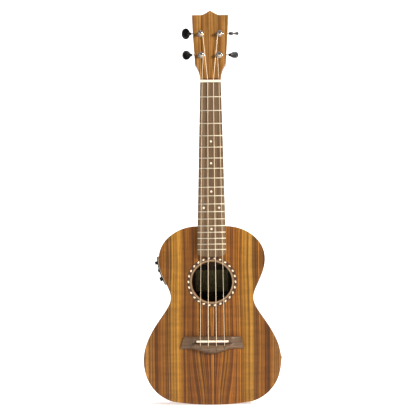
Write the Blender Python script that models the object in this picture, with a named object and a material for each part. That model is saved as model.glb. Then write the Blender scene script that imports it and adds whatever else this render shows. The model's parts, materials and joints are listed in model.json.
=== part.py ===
"""Electro-acoustic tenor ukulele, one object for each physical piece.

The instrument stands upright on its tail. +Z runs from the tail to the headstock, -Y is the
front, where the strings are, and +X is the treble side. The origin is under the middle of the
tail. Lengths are in metres, and "height" means the distance in front of the soundboard.
"""

import math

import bmesh
import bpy
from mathutils import Matrix, Vector

# ---------------------------------------------------------------- fits
GAP = 0.0003
PREAMP_SEAT_GAP = 0.0005
STRING_GAP = 0.0004
SHOULDER_STEP = 0.0001

# ---------------------------------------------------------------- body
BODY_LENGTH = 0.2985
LOWER_BOUT_HALF = 0.115
LOWER_BOUT_Z = 0.075
WAIST_HALF = 0.069
WAIST_Z = 0.1795
UPPER_BOUT_HALF = 0.0889
UPPER_BOUT_Z = 0.244
TAIL_RADIUS = 0.390
TAIL_ARC_HALF = 0.064
TAIL_STEPS = 4
LOWER_BOUT_STEPS = 10
WAIST_STEPS = 9
UPPER_BOUT_STEPS = 8
SHOULDER_STEPS = 10
HEEL_SEAT_HALF = 0.024
BODY_DEPTH_TAIL = 0.071
BODY_DEPTH_HEEL = 0.061
SOUNDBOARD_T = 0.0022
BACK_T = 0.0022
SIDE_T = 0.0021
SOUND_HOLE_RADIUS = 0.0335
SOUND_HOLE_TO_TONGUE = 0.0422
LINING_W = 0.005
LINING_H = 0.010
BLOCK_STEP = 0.0005
NECK_BLOCK_LENGTH = 0.026
TAIL_BLOCK_LENGTH = 0.014
BRACE_W = 0.006
BRACE_H = 0.009
STRUT_TO_HOLE = 0.0095
STRUT_H = 0.006
UPPER_BRACE_TO_HOLE = 0.0127
LOWER_BRACE_TO_HOLE = 0.0143
BACK_BRACE_Z = (0.075, 0.172, 0.236)
BACK_STRIP_HALF = 0.008
BACK_STRIP_T = 0.0022
BRIDGE_PLATE_MARGIN = 0.0085
BRIDGE_PLATE_LENGTH = 0.036
BRIDGE_PLATE_T = 0.0025

# ---------------------------------------------------------------- neck
SCALE_LENGTH = 0.432
FRET_COUNT = 18
BODY_FRET = 14
BODY_FRET_OFFSET = 0.001
FINGERBOARD_HALF_NUT = 0.0174
FINGERBOARD_HALF_BODY = 0.0233
FINGERBOARD_T = 0.005
FINGERBOARD_TONGUE = 0.0118
TONGUE_CORNER = 0.0075
TONGUE_END_HALF = 0.011
NECK_DEPTH_NUT = 0.0135
NECK_DEPTH_HEEL = 0.0165
NECK_SECTION_STEPS = 14
NECK_THROAT = 0.010
NECK_THROAT_START = 0.022
HEEL_CAP_STEP = 0.004
HEEL_LENGTH = 0.050
HEEL_CAP_SHARE = 0.93
NUT_T = 0.004
NUT_SLOT_WALL = 0.0007
FRET_CROWN_HALF = 0.001
FRET_CROWN_H = 0.001
FRET_TANG_HALF = 0.00025
FRET_TANG_DEPTH = 0.0016
FRET_END_INSET = 0.0003

# ---------------------------------------------------------------- headstock
HEADSTOCK_TILT = math.radians(13)
HEADSTOCK_T = 0.013
VENEER_T = 0.0018
THROAT_STEP = 0.0004
THROAT_LENGTH = 0.007
EAR_HALF = 0.0260
EAR_S = 0.0282
CROWN_HALF = 0.0306
CROWN_S = 0.1132
CREST_HALF = 0.016
CREST_S = 0.1214

# ---------------------------------------------------------------- tuners
LOWER_POST = (0.0150, 0.0425)
UPPER_POST = (0.0159, 0.0801)
POST_RADIUS = 0.003
POST_WAIST_DEPTH = 0.0005
POST_HEIGHT = 0.0099
POST_WAIST_FROM = 0.0024
POST_WAIST_TO = 0.0080
POST_STEP = 0.0002
POST_ROUND = 0.0006
GEAR_TEETH = 14
GEAR_RADIUS = 0.0042
GEAR_ROOT_RADIUS = 0.0035
GEAR_T = 0.003
WORM_RADIUS = 0.0018
WORM_HALF_LENGTH = 0.004
SHAFT_RADIUS = 0.00125
SHAFT_DEPTH = 0.0045
BARREL_WALL = 0.0005
BUSHING_FLANGE_W = 0.0009
BUSHING_FLANGE_T = 0.0013
BARREL_DEPTH = 0.007
HOUSING_T = 0.0092
HOUSING_OUT = 0.0085
HOUSING_WALL = 0.002
HOUSING_ROUND = 0.0016
KEY_REACH = 0.0322
BUTTON_LENGTH = 0.014
BUTTON_HALF_HEIGHT = 0.0088
BUTTON_HALF_T = 0.00295
BUTTON_COLLAR_LENGTH = 0.0017
BUTTON_COLLAR_RADIUS = 0.0024

# ---------------------------------------------------------------- bridge and strings
SADDLE_COMPENSATION = 0.0005
SADDLE_LENGTH = 0.0535
SADDLE_T = 0.0032
SADDLE_ROUND = 0.0012
SADDLE_END_DROP = 0.0008
BRIDGE_TOP_HALF = 0.0474
BRIDGE_FOOT_HALF = 0.0535
BRIDGE_HEAD = 0.0080
BRIDGE_FOOT = 0.0125
BRIDGE_BELLY = 0.0215
BRIDGE_BELLY_HALF = 0.038
BRIDGE_WING_T = 0.0034
BRIDGE_BLOCK_HALF = 0.031
BRIDGE_BLOCK_H = 0.0062
TIE_BLOCK_H = 0.0078
TIE_SLOT_HALF = 0.0009
TIE_SLOT_FLOOR = 0.0049
STRING_SPACING_SADDLE = 0.01343
STRING_SPACING_NUT = 0.00943
SADDLE_NOTCH_WALL = 0.0007
SADDLE_ACTION = 0.0044
NUT_ACTION = 0.0005
STRING_TURNS = 2.4
STRING_PITCH = 0.0014

# ---------------------------------------------------------------- electronics
PREAMP_FROM_Z = 0.2012
PREAMP_TO_Z = 0.2480
PREAMP_Y = 0.030
PREAMP_HALF = 0.018
PREAMP_CORNER = 0.0025
PREAMP_FLANGE_T = 0.0028
PREAMP_BOX_DEPTH = 0.018
PREAMP_BOX_MARGIN = 0.006
TONE_KNOB_Z = 0.2376
TUNE_BUTTON_Z = 0.2252
VOLUME_KNOB_Z = 0.2120
KNOB_HEIGHT = 0.0042
KNOB_ROUND = 0.0006
TONE_KNOB_RADIUS = 0.0028
VOLUME_KNOB_RADIUS = 0.0035
KNOB_STEM_RADIUS = 0.0013
KNOB_STEM_DEPTH = 0.005
TUNE_BUTTON_RADIUS = 0.0030
TUNE_BUTTON_PROUD = 0.0020
TUNE_BUTTON_ROUND = 0.0005
TUNE_BUTTON_DEPTH = 0.0030
TUNE_BUTTON_TRAVEL = 0.0010
JACK_Z = LOWER_BOUT_Z
JACK_Y = 0.036
JACK_BORE_RADIUS = 0.0033
JACK_WALL = 0.0014
JACK_FLANGE_W = 0.0023
JACK_FLANGE_T = 0.0008
JACK_LENGTH = 0.022
JACK_FLOOR = 0.002

# ---------------------------------------------------------------- worked out from those
STRING_NAMES = ("g", "c", "e", "a")
STRING_RADIUS = {"g": 0.00032, "c": 0.00045, "e": 0.00040, "a": 0.00030}
STRING_POST = {"g": LOWER_POST, "c": UPPER_POST, "e": UPPER_POST, "a": LOWER_POST}
STRING_ORDER = {"g": -1.5, "c": -0.5, "e": 0.5, "a": 1.5}
BUTTON_TURN = {"g": 31, "c": 0, "e": 90, "a": -52}
TIE_LENGTH = {"g": 0.0100, "c": 0.0134, "e": 0.0134, "a": 0.0100}

FINGERBOARD_TOP = GAP + FINGERBOARD_T
FRET_TOP = FINGERBOARD_TOP + GAP + FRET_CROWN_H
STRING_AT_NUT = FRET_TOP + NUT_ACTION
STRING_AT_SADDLE = FRET_TOP + SADDLE_ACTION
NUT_HEIGHT = STRING_AT_NUT + NUT_SLOT_WALL
SADDLE_TOP = STRING_AT_SADDLE - SADDLE_NOTCH_WALL
FRONT_REACH = STRING_AT_SADDLE + STRING_RADIUS["c"]
FACE_Y = -(BODY_DEPTH_TAIL - FRONT_REACH) / 2
SCALE_TO_BODY = SCALE_LENGTH * (1 - 2 ** (-BODY_FRET / 12))
NUT_Z = BODY_LENGTH + BODY_FRET_OFFSET + SCALE_TO_BODY
SADDLE_Z = NUT_Z - SCALE_LENGTH - SADDLE_COMPENSATION
TONGUE_Z = NUT_Z - SCALE_LENGTH * (1 - 2 ** (-FRET_COUNT / 12)) - FINGERBOARD_TONGUE
SOUND_HOLE_Z = TONGUE_Z - SOUND_HOLE_TO_TONGUE
UPPER_BRACE_Z = SOUND_HOLE_Z + SOUND_HOLE_RADIUS + UPPER_BRACE_TO_HOLE
LOWER_BRACE_Z = SOUND_HOLE_Z - SOUND_HOLE_RADIUS - LOWER_BRACE_TO_HOLE
STRUT_X = SOUND_HOLE_RADIUS + STRUT_TO_HOLE
BRIDGE_PLATE_HALF = BRIDGE_FOOT_HALF + BRIDGE_PLATE_MARGIN
BLOCK_HALF = HEEL_SEAT_HALF - BLOCK_STEP
HEEL_DEPTH = BODY_DEPTH_HEEL - HEEL_CAP_STEP
THROAT_HALF = FINGERBOARD_HALF_NUT - THROAT_STEP
HEADSTOCK_Z = NUT_Z + NUT_T + GAP
WORM_OFFSET = GEAR_RADIUS + WORM_RADIUS + GAP
HOUSING_MARGIN = GEAR_RADIUS + HOUSING_WALL
POST_WAIST_RADIUS = POST_RADIUS - POST_WAIST_DEPTH
BARREL_RADIUS = POST_RADIUS + GAP + BARREL_WALL
BUSHING_RADIUS = BARREL_RADIUS + BUSHING_FLANGE_W
JACK_BARREL_RADIUS = JACK_BORE_RADIUS + JACK_WALL
JACK_FLANGE_RADIUS = JACK_BARREL_RADIUS + JACK_FLANGE_W
VENEER_FACE = GAP + VENEER_T
HOUSING_BACK = HEADSTOCK_T + GAP + HOUSING_T
SHAFT_Y = HEADSTOCK_T + GAP + SHAFT_DEPTH


# ================================================================ mesh tools
def clear_scene():
    """Removes whatever the scene starts with."""
    for obj in list(bpy.data.objects):
        bpy.data.objects.remove(obj, do_unlink=True)


def finish(name, colour, roughness, metallic=0.0):
    """A Principled material."""
    material = bpy.data.materials.new(name)
    material.use_nodes = True
    shader = material.node_tree.nodes["Principled BSDF"]
    shader.inputs["Base Color"].default_value = (*colour, 1.0)
    shader.inputs["Roughness"].default_value = roughness
    shader.inputs["Metallic"].default_value = metallic
    return material


def add_object(name, bm, material, smooth=None):
    """Turns a bmesh into a linked object; smooth is the sharp-edge angle in degrees."""
    bmesh.ops.recalc_face_normals(bm, faces=bm.faces)
    mesh = bpy.data.meshes.new(name)
    bm.to_mesh(mesh)
    bm.free()
    if smooth:
        mesh.shade_smooth()
        mesh.set_sharp_from_angle(angle=math.radians(smooth))
    obj = bpy.data.objects.new(name, mesh)
    bpy.context.scene.collection.objects.link(obj)
    if material:
        obj.data.materials.append(material)
    return obj


def loft_into(bm, rings, endless=False):
    """Skins a run of rings of points, with a flat cap at each end unless it is endless."""
    loops = [[bm.verts.new(point) for point in ring] for ring in rings]
    pairs = list(zip(loops, loops[1:]))
    if endless:
        pairs.append((loops[-1], loops[0]))
    else:
        bm.faces.new(loops[0])
        bm.faces.new(loops[-1])
    for lower, upper in pairs:
        for i in range(len(lower)):
            j = (i + 1) % len(lower)
            bm.faces.new((lower[i], lower[j], upper[j], upper[i]))


def loft(name, rings, material, endless=False, smooth=None):
    """One closed body skinned over rings of points."""
    bm = bmesh.new()
    loft_into(bm, rings, endless)
    return add_object(name, bm, material, smooth)


def circle(radius, height, count, phase=0.0):
    """Points of a circle round the local Z axis."""
    turns = [2 * math.pi * (i + phase) / count for i in range(count)]
    return [Vector((radius * math.cos(a), radius * math.sin(a), height)) for a in turns]


def turned(name, profile, material, count=20, smooth=40):
    """A lathe-turned body on the local Z axis, from (radius, height) pairs."""
    return loft(name, [circle(r, h, count) for r, h in profile], material, smooth=smooth)


def boxes(name, corners, material=None):
    """One or more boxes, each from its low and high corner."""
    bm = bmesh.new()
    for low, high in corners:
        (x0, y0, z0), (x1, y1, z1) = low, high
        base = [Vector((x, y, z0)) for x, y in ((x0, y0), (x1, y0), (x1, y1), (x0, y1))]
        loft_into(bm, [base, [p + Vector((0, 0, z1 - z0)) for p in base]])
    return add_object(name, bm, material)


def boolean(obj, other, operation):
    """Adds an exact Boolean and hides the other operand."""
    modifier = obj.modifiers.new(other.name, "BOOLEAN")
    modifier.operation = operation
    modifier.object = other
    modifier.solver = "EXACT"
    other.hide_render = True
    other.display_type = "WIRE"


def bevel(obj, width, segments=2, angle=40):
    """Rounds the edges sharper than the angle."""
    modifier = obj.modifiers.new("bevel", "BEVEL")
    modifier.width = width
    modifier.segments = segments
    modifier.limit_method = "ANGLE"
    modifier.angle_limit = math.radians(angle)


def bezier(p0, p1, p2, p3, count):
    """Points of a cubic Bezier arc, without its first point."""
    points = []
    for i in range(1, count + 1):
        t = i / count
        u = 1 - t
        weights = (u**3, 3 * u * u * t, 3 * u * t * t, t**3)
        points.append(sum((w * p for w, p in zip(weights, (p0, p1, p2, p3))), Vector((0, 0))))
    return points


def front_y(height):
    """The world Y of a height in front of the soundboard."""
    return FACE_Y - height


# ================================================================ body outline
def half_outline():
    """The right half of the body outline as (x, z) points, from the tail to the heel seat."""
    swing = math.asin(TAIL_ARC_HALF / TAIL_RADIUS)
    tail = []
    for i in range(TAIL_STEPS + 1):
        angle = swing * i / TAIL_STEPS
        tail.append(
            Vector((TAIL_RADIUS * math.sin(angle), TAIL_RADIUS * (1 - math.cos(angle))))
        )
    start = tail[-1]
    along = Vector((math.cos(swing), math.sin(swing)))
    lower = Vector((LOWER_BOUT_HALF, LOWER_BOUT_Z))
    waist = Vector((WAIST_HALF, WAIST_Z))
    upper = Vector((UPPER_BOUT_HALF, UPPER_BOUT_Z))
    seat = Vector((HEEL_SEAT_HALF, BODY_LENGTH))
    up = Vector((0, 1))
    out = Vector((1, 0))
    rise = [lower.y - start.y, waist.y - lower.y, upper.y - waist.y, seat.y - upper.y]
    points = tail
    points += bezier(
        start,
        start + along * 0.30 * (lower.x - start.x),
        lower - up * 0.70 * rise[0],
        lower,
        LOWER_BOUT_STEPS,
    )
    points += bezier(
        lower,
        lower + up * 0.462 * rise[1],
        waist - up * 0.241 * rise[1],
        waist,
        WAIST_STEPS,
    )
    points += bezier(
        waist,
        waist + up * 0.239 * rise[2],
        upper - up * 0.394 * rise[2],
        upper,
        UPPER_BOUT_STEPS,
    )
    points += bezier(
        upper,
        upper + up * 0.609 * rise[3],
        seat + out * 0.495 * (upper.x - seat.x),
        seat,
        SHOULDER_STEPS,
    )
    points.append(Vector((0, BODY_LENGTH)))
    return points


HALF_OUTLINE = half_outline()


def edge_normals(points):
    """Outward unit normals along the half outline, square to the axis of symmetry at its ends."""
    normals = []
    for i, point in enumerate(points):
        before = points[i - 1] if i else Vector((-points[1].x, points[1].y))
        last = i == len(points) - 1
        after = Vector((-points[i - 1].x, points[i - 1].y)) if last else points[i + 1]
        run = (after - before).normalized()
        normals.append(Vector((run.y, -run.x)))
    return normals


def inset_half(inset):
    """The half outline moved inwards by the inset."""
    normals = edge_normals(HALF_OUTLINE)
    return [p - n * inset for p, n in zip(HALF_OUTLINE, normals)]


def whole(half):
    """Both halves of an outline as one closed loop."""
    return half + [Vector((-p.x, p.y)) for p in reversed(half[1:-1])]


def edge_at(z):
    """The outline's half width at a height, and its outward normal there."""
    for low, high in zip(HALF_OUTLINE, HALF_OUTLINE[1:]):
        if low.y <= z <= high.y:
            share = (z - low.y) / (high.y - low.y)
            run = (high - low).normalized()
            return low.x + share * (high.x - low.x), Vector((run.y, -run.x))
    return HEEL_SEAT_HALF, Vector((0, 1))


def back_y(z):
    """The world Y of the back plate's outer face."""
    share = z / BODY_LENGTH
    return FACE_Y + BODY_DEPTH_TAIL + share * (BODY_DEPTH_HEEL - BODY_DEPTH_TAIL)


def in_plane(points, y_of):
    """Outline points as world points, at the Y that y_of gives for their height."""
    return [Vector((p.x, y_of(p.y), p.y)) for p in points]


# ================================================================ body
def make_plates(wood):
    """The soundboard with its hole, and the back plate."""
    rim = whole(HALF_OUTLINE)
    front = in_plane(rim, lambda z: FACE_Y)
    behind = in_plane(rim, lambda z: FACE_Y + SOUNDBOARD_T)
    soundboard = loft("soundboard", [front, behind], wood, smooth=40)
    hole = turned(
        "sound_hole_cutter",
        [(SOUND_HOLE_RADIUS, -0.01), (SOUND_HOLE_RADIUS, 0.01)],
        None,
        count=48,
    )
    hole.rotation_euler.x = math.pi / 2
    hole.location = (0, FACE_Y, SOUND_HOLE_Z)
    boolean(soundboard, hole, "DIFFERENCE")
    inner = in_plane(rim, lambda z: back_y(z) - BACK_T)
    outer = in_plane(rim, back_y)
    loft("back_plate", [inner, outer], wood, smooth=40)


def make_side(name, sign, wood):
    """One bent side, from the tail seam to the heel seam."""
    inner = inset_half(SIDE_T)
    rings = []
    for outside, inside in zip(HALF_OUTLINE, inner):
        ring = []
        for point, at_back in ((outside, False), (outside, True), (inside, True), (inside, False)):
            x = max(point.x, GAP / 2)
            y = FACE_Y + SOUNDBOARD_T + GAP
            if at_back:
                y = back_y(point.y) - BACK_T - GAP
            ring.append(Vector((sign * x, y, point.y)))
        rings.append(ring)
    return loft(name, rings, wood, smooth=40)


def make_lining(name, wood, at_back):
    """A lining strip glued round the inside corner of the sides and one plate."""
    outer = whole(inset_half(SIDE_T + GAP))
    inner = whole(inset_half(SIDE_T + GAP + LINING_W))
    rings = []
    for outside, inside in zip(outer, inner):
        ring = []
        for point, reach in (
            (outside, 0.0),
            (inside, 0.0),
            (inside, 0.3 * LINING_H),
            (outside, LINING_H),
        ):
            y = FACE_Y + SOUNDBOARD_T + GAP + reach
            if at_back:
                y = back_y(point.y) - BACK_T - GAP - reach
            ring.append(Vector((point.x, y, point.y)))
        rings.append(ring)
    return loft(name, rings, wood, endless=True, smooth=30)


def make_block(name, wood, stations, length, inwards):
    """An end block between the plates, notched where the linings pass; inwards is +1 or -1."""
    notch = LINING_W + 2 * GAP
    notch_depth = LINING_H + GAP
    rings = []
    for x, edge_z in stations:
        seat = edge_z + inwards * (SIDE_T + GAP)
        step = seat + inwards * notch
        far = stations[len(stations) // 2][1] + inwards * (SIDE_T + GAP + length)
        front = FACE_Y + SOUNDBOARD_T + GAP
        ring = []
        for z, reach, at_back in (
            (far, 0, False),
            (step, 0, False),
            (step, notch_depth, False),
            (seat, notch_depth, False),
            (seat, notch_depth, True),
            (step, notch_depth, True),
            (step, 0, True),
            (far, 0, True),
        ):
            y = back_y(z) - BACK_T - GAP - reach if at_back else front + reach
            ring.append(Vector((x, y, z)))
        rings.append(ring)
    return loft(name, rings, wood)


def make_blocks(wood):
    """The neck block under the heel seat and the tail block over the tail arc."""
    neck_stations = [(x, BODY_LENGTH) for x in (-BLOCK_HALF, 0, BLOCK_HALF)]
    make_block("neck_block", wood, neck_stations, NECK_BLOCK_LENGTH, -1)
    tail_stations = []
    for i in range(-4, 5):
        x = BLOCK_HALF * i / 4
        tail_stations.append((x, edge_height(abs(x))))
    make_block("tail_block", wood, tail_stations, TAIL_BLOCK_LENGTH, 1)


def edge_height(x):
    """The height of the tail's outline above the floor at a distance from the centre line."""
    for low, high in zip(HALF_OUTLINE, HALF_OUTLINE[1:]):
        if low.x <= x <= high.x:
            share = (x - low.x) / (high.x - low.x)
            return low.y + share * (high.y - low.y)
    return 0.0


def inner_half(z, clearance):
    """Half the room between the linings at a height, less a clearance."""
    x, normal = edge_at(z)
    return x - (SIDE_T + 2 * GAP + LINING_W + clearance) / max(normal.x, 0.5)


def make_soundboard_bracing(wood):
    """Two cross braces and the struts beside the sound hole, glued into one frame."""
    front = FACE_Y + SOUNDBOARD_T + GAP
    corners = []
    for z in (UPPER_BRACE_Z, LOWER_BRACE_Z):
        low = z - BRACE_W / 2
        high = z + BRACE_W / 2
        half = min(inner_half(low, 2 * GAP), inner_half(high, 2 * GAP))
        corners.append(((-half, front, low), (half, front + BRACE_H, high)))
    bracing = boxes("soundboard_bracing", corners[:1], wood)
    lower = boxes("lower_brace_part", corners[1:])
    boolean(bracing, lower, "UNION")
    for sign in (-1, 1):
        centre = sign * STRUT_X
        strut = boxes(
            f"strut_part_{'bass' if sign < 0 else 'treble'}",
            [
                (
                    (centre - BRACE_W / 2, front + GAP, LOWER_BRACE_Z),
                    (centre + BRACE_W / 2, front + STRUT_H, UPPER_BRACE_Z),
                )
            ],
        )
        boolean(bracing, strut, "UNION")
    return bracing


def make_back_bracing(wood):
    """The back's centre strip with its cross braces notched over it, glued into one frame."""
    bottom = edge_height(0) + SIDE_T + 2 * GAP + TAIL_BLOCK_LENGTH + GAP
    top = BODY_LENGTH - SIDE_T - 2 * GAP - NECK_BLOCK_LENGTH - GAP
    strip = []
    for z in (bottom, top):
        y = back_y(z) - BACK_T - GAP
        x = BACK_STRIP_HALF
        inside = y - BACK_STRIP_T
        strip.append([Vector((a, b, z)) for a, b in ((-x, y), (x, y), (x, inside), (-x, inside))])
    bracing = loft("back_bracing", strip, wood)
    for i, z in enumerate(BACK_BRACE_Z):
        low = z - BRACE_W / 2
        high = z + BRACE_W / 2
        half = min(inner_half(low, 2 * GAP), inner_half(high, 2 * GAP))
        rings = []
        for x in (-half, -0.75 * half, 0.75 * half, half):
            depth = BRACE_H if abs(x) < half else 0.35 * BRACE_H
            ring = []
            for height in (low, high):
                ring.append(Vector((x, back_y(height) - BACK_T - 2 * GAP, height)))
            for height in (high, low):
                ring.append(Vector((x, back_y(height) - BACK_T - 2 * GAP - depth, height)))
            rings.append(ring)
        brace = loft(f"back_brace_part_{i + 1}", rings, None)
        boolean(bracing, brace, "UNION")
    return bracing


def make_bridge_plate(wood):
    """The hardwood plate that backs the bridge inside the body."""
    front = FACE_Y + SOUNDBOARD_T + GAP
    centre = SADDLE_Z - BRIDGE_FOOT / 4
    half = BRIDGE_PLATE_LENGTH / 2
    low = (-BRIDGE_PLATE_HALF, front, centre - half)
    high = (BRIDGE_PLATE_HALF, front + BRIDGE_PLATE_T, centre + half)
    return boxes("bridge_plate", [(low, high)], wood)


# ================================================================ neck and fingerboard
def board_half(z):
    """Half the fingerboard's width at a height up the neck."""
    share = (z - BODY_LENGTH) / (NUT_Z - BODY_LENGTH)
    return FINGERBOARD_HALF_BODY + share * (FINGERBOARD_HALF_NUT - FINGERBOARD_HALF_BODY)


def fret_z(number):
    """The height of a fret's middle."""
    return NUT_Z - SCALE_LENGTH * (1 - 2 ** (-number / 12))


def string_x(name, z):
    """A string's distance from the centre line at a height."""
    share = (z - SADDLE_Z) / (NUT_Z - SADDLE_Z)
    spacing = STRING_SPACING_SADDLE + share * (STRING_SPACING_NUT - STRING_SPACING_SADDLE)
    return STRING_ORDER[name] * spacing


def neck_section(z, depth, cap_depth):
    """A rounded neck section at a height: flat in front, elliptical behind, cut at cap_depth."""
    half = board_half(z)
    ring = []
    for i in range(NECK_SECTION_STEPS + 1):
        angle = math.pi * i / NECK_SECTION_STEPS
        back = min(depth * math.sin(angle), cap_depth)
        ring.append(Vector((half * math.cos(angle), FACE_Y + back, z)))
    return ring


def headstock_section(s, half, front, depth):
    """A boxy section across the headstock with as many points as a neck section."""
    frame = headstock_matrix()
    ring = []
    for i in range(NECK_SECTION_STEPS + 1):
        angle = math.pi * i / NECK_SECTION_STEPS
        side = math.cos(angle)
        x = half * max(-1.0, min(1.0, side * 1.35))
        back = front + (depth - front) * min(1.0, math.sin(angle) * 1.5)
        ring.append(frame @ Vector((x, back, s)))
    return ring


def headstock_matrix():
    """The headstock's frame: local Y points into its face, and local Z along it."""
    place = Matrix.Translation((0, FACE_Y, HEADSTOCK_Z))
    return place @ Matrix.Rotation(-HEADSTOCK_TILT, 4, "X")


def headstock_outline(margin=0.0):
    """The face outline as (x, s) points, less a margin all round the sides."""
    throat = Vector((THROAT_HALF, THROAT_LENGTH))
    ear = Vector((EAR_HALF, EAR_S))
    crown = Vector((CROWN_HALF, CROWN_S))
    crest_foot = Vector((CREST_HALF, CROWN_S))
    crest = Vector((0, CREST_S))
    rise = CREST_S - CROWN_S
    points = [Vector((THROAT_HALF, 0)), throat]
    points += bezier(
        throat, throat + Vector((0.0015, 0.008)), ear - Vector((0.0045, 0.0055)), ear, 5
    )
    points += bezier(
        ear, ear + Vector((0.0012, 0.028)), crown - Vector((0.0006, 0.030)), crown, 5
    )
    points.append(crest_foot)
    points += bezier(
        crest_foot,
        Vector((0.72 * CREST_HALF, CROWN_S + 0.04 * rise)),
        Vector((0.42 * CREST_HALF, CROWN_S + 0.45 * rise)),
        crest,
        6,
    )
    half = [Vector((max(p.x - margin, 0), p.y)) for p in points]
    return half + [Vector((-p.x, p.y)) for p in reversed(half[:-1])]


def headstock_slab(name, material, depth_from, depth_to, start, margin=0.0):
    """A slab with the headstock's outline, in the headstock's frame."""
    frame = headstock_matrix()
    outline = headstock_outline(margin)
    rings = []
    for depth in (depth_from, depth_to):
        rings.append([frame @ Vector((p.x, depth, max(p.y, start))) for p in outline])
    return loft(name, rings, material, smooth=40)


def post_hole_cutter(name):
    """Four cylinders, one on each post's axis, as wide as the bushing barrel needs."""
    frame = headstock_matrix()
    bm = bmesh.new()
    for sign in (-1, 1):
        for x, s in (LOWER_POST, UPPER_POST):
            rings = []
            for depth in (-0.02, 0.03):
                ring = circle(BARREL_RADIUS + GAP, 0, 20)
                rings.append([frame @ Vector((sign * x + p.x, depth, s + p.y)) for p in ring])
            loft_into(bm, rings)
    return add_object(name, bm, None)


def make_neck(wood, veneer_wood):
    """The neck with its heel and headstock in one piece, and the veneer on the headstock."""
    heel_top = BODY_LENGTH + GAP + HEEL_LENGTH
    full_depth = HEEL_DEPTH / HEEL_CAP_SHARE
    rings = []
    for i in range(9):
        share = i / 8
        z = BODY_LENGTH + GAP + share * HEEL_LENGTH
        sweep = (1 - share) ** 2.3
        depth = NECK_DEPTH_HEEL + (full_depth - NECK_DEPTH_HEEL) * sweep
        rings.append(neck_section(z, depth, HEEL_DEPTH))
    shaft_top = NUT_Z - NECK_THROAT_START
    for share in (0.35, 0.7, 1.0):
        z = heel_top + share * (shaft_top - heel_top)
        depth = NECK_DEPTH_HEEL + share * (NECK_DEPTH_NUT - NECK_DEPTH_HEEL)
        rings.append(neck_section(z, depth, HEEL_DEPTH))
    rings.append(neck_section(NUT_Z - NECK_THROAT, NECK_DEPTH_NUT, HEEL_DEPTH))
    rings.append(headstock_section(0.0025, THROAT_HALF - 0.0003, 0, HEADSTOCK_T + 0.0004))
    rings.append(headstock_section(0.0120, THROAT_HALF - 0.0008, 0.001, HEADSTOCK_T - 0.0006))
    neck = loft("neck", rings, wood, smooth=50)
    slab = headstock_slab("headstock_part", None, 0.0, HEADSTOCK_T, 0.004)
    boolean(neck, slab, "UNION")
    boolean(neck, post_hole_cutter("neck_hole_cutter"), "DIFFERENCE")
    veneer = headstock_slab("headstock_veneer", veneer_wood, -VENEER_FACE, -GAP, 0.002)
    boolean(veneer, post_hole_cutter("veneer_hole_cutter"), "DIFFERENCE")


def make_fingerboard(wood):
    """The tapered board with a rounded tongue and a slot for each fret."""
    shoulder = TONGUE_Z + TONGUE_CORNER
    rings = []
    stations = [(TONGUE_Z, TONGUE_END_HALF)]
    corner = bezier(
        Vector((TONGUE_END_HALF, TONGUE_Z)),
        Vector((TONGUE_END_HALF + 0.006, TONGUE_Z)),
        Vector((board_half(shoulder) - 0.001, shoulder - 0.005)),
        Vector((board_half(shoulder), shoulder)),
        5,
    )
    stations += [(p.y + 0.0002, p.x) for p in corner]
    stations.append((NUT_Z - GAP, board_half(NUT_Z)))
    for z, half in stations:
        ring = [(-half, GAP), (half, GAP), (half, FINGERBOARD_TOP), (-half, FINGERBOARD_TOP)]
        rings.append([Vector((x, front_y(height), z)) for x, height in ring])
    board = loft("fingerboard", rings, wood)
    slots = []
    slot_half = FRET_TANG_HALF + GAP
    floor = FINGERBOARD_TOP - FRET_TANG_DEPTH - GAP
    for number in range(1, FRET_COUNT + 1):
        z = fret_z(number)
        low = (-0.04, front_y(FINGERBOARD_TOP + 0.002), z - slot_half)
        slots.append((low, (0.04, front_y(floor), z + slot_half)))
    boolean(board, boxes("fret_slot_cutter", slots), "DIFFERENCE")


def make_frets(metal):
    """The frets: a crown over the board and a tang in its slot."""
    crown = FRET_CROWN_HALF
    tang = FRET_TANG_HALF
    section = [
        (-crown, 0),
        (-0.7 * crown, 0.65 * FRET_CROWN_H),
        (0, FRET_CROWN_H),
        (0.7 * crown, 0.65 * FRET_CROWN_H),
        (crown, 0),
        (tang, 0),
        (tang, -FRET_TANG_DEPTH),
        (-tang, -FRET_TANG_DEPTH),
        (-tang, 0),
    ]
    for number in range(1, FRET_COUNT + 1):
        z = fret_z(number)
        half = board_half(z + crown) - FRET_END_INSET
        rings = []
        for x in (-half, half):
            seat = FINGERBOARD_TOP + GAP
            rings.append([Vector((x, front_y(seat + h), z + dz)) for dz, h in section])
        loft(f"fret_{number:02d}", rings, metal)


def make_nut(bone):
    """The nut, with a slot for each string."""
    half = FINGERBOARD_HALF_NUT
    low = (-half, front_y(NUT_HEIGHT), NUT_Z)
    nut = boxes("nut", [(low, (half, front_y(GAP), NUT_Z + NUT_T))], bone)
    slots = []
    for name in STRING_NAMES:
        x = string_x(name, NUT_Z)
        width = STRING_RADIUS[name] + GAP
        floor = STRING_AT_NUT - STRING_RADIUS[name] - GAP
        slots.append(
            (
                (x - width, front_y(NUT_HEIGHT + 0.003), NUT_Z - 0.002),
                (x + width, front_y(floor), NUT_Z + NUT_T + 0.002),
            )
        )
    boolean(nut, boxes("nut_slot_cutter", slots), "DIFFERENCE")


# ================================================================ bridge and strings
def bridge_outline(margin=0.0):
    """The bridge's plan as (x, z) points: slanted wings and a rounded belly."""
    head = SADDLE_Z + BRIDGE_HEAD - margin
    foot = SADDLE_Z - BRIDGE_FOOT + margin
    half = [Vector((BRIDGE_TOP_HALF - margin, head)), Vector((BRIDGE_FOOT_HALF - margin, foot))]
    drop = BRIDGE_BELLY - BRIDGE_FOOT
    steps = 8
    for i in range(steps + 1):
        x = BRIDGE_BELLY_HALF * (1 - i / steps)
        swell = 0.5 * (1 + math.cos(math.pi * x / BRIDGE_BELLY_HALF))
        half.append(Vector((x, foot - drop * swell)))
    return half + [Vector((-p.x, p.y)) for p in reversed(half[:-1])]


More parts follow.
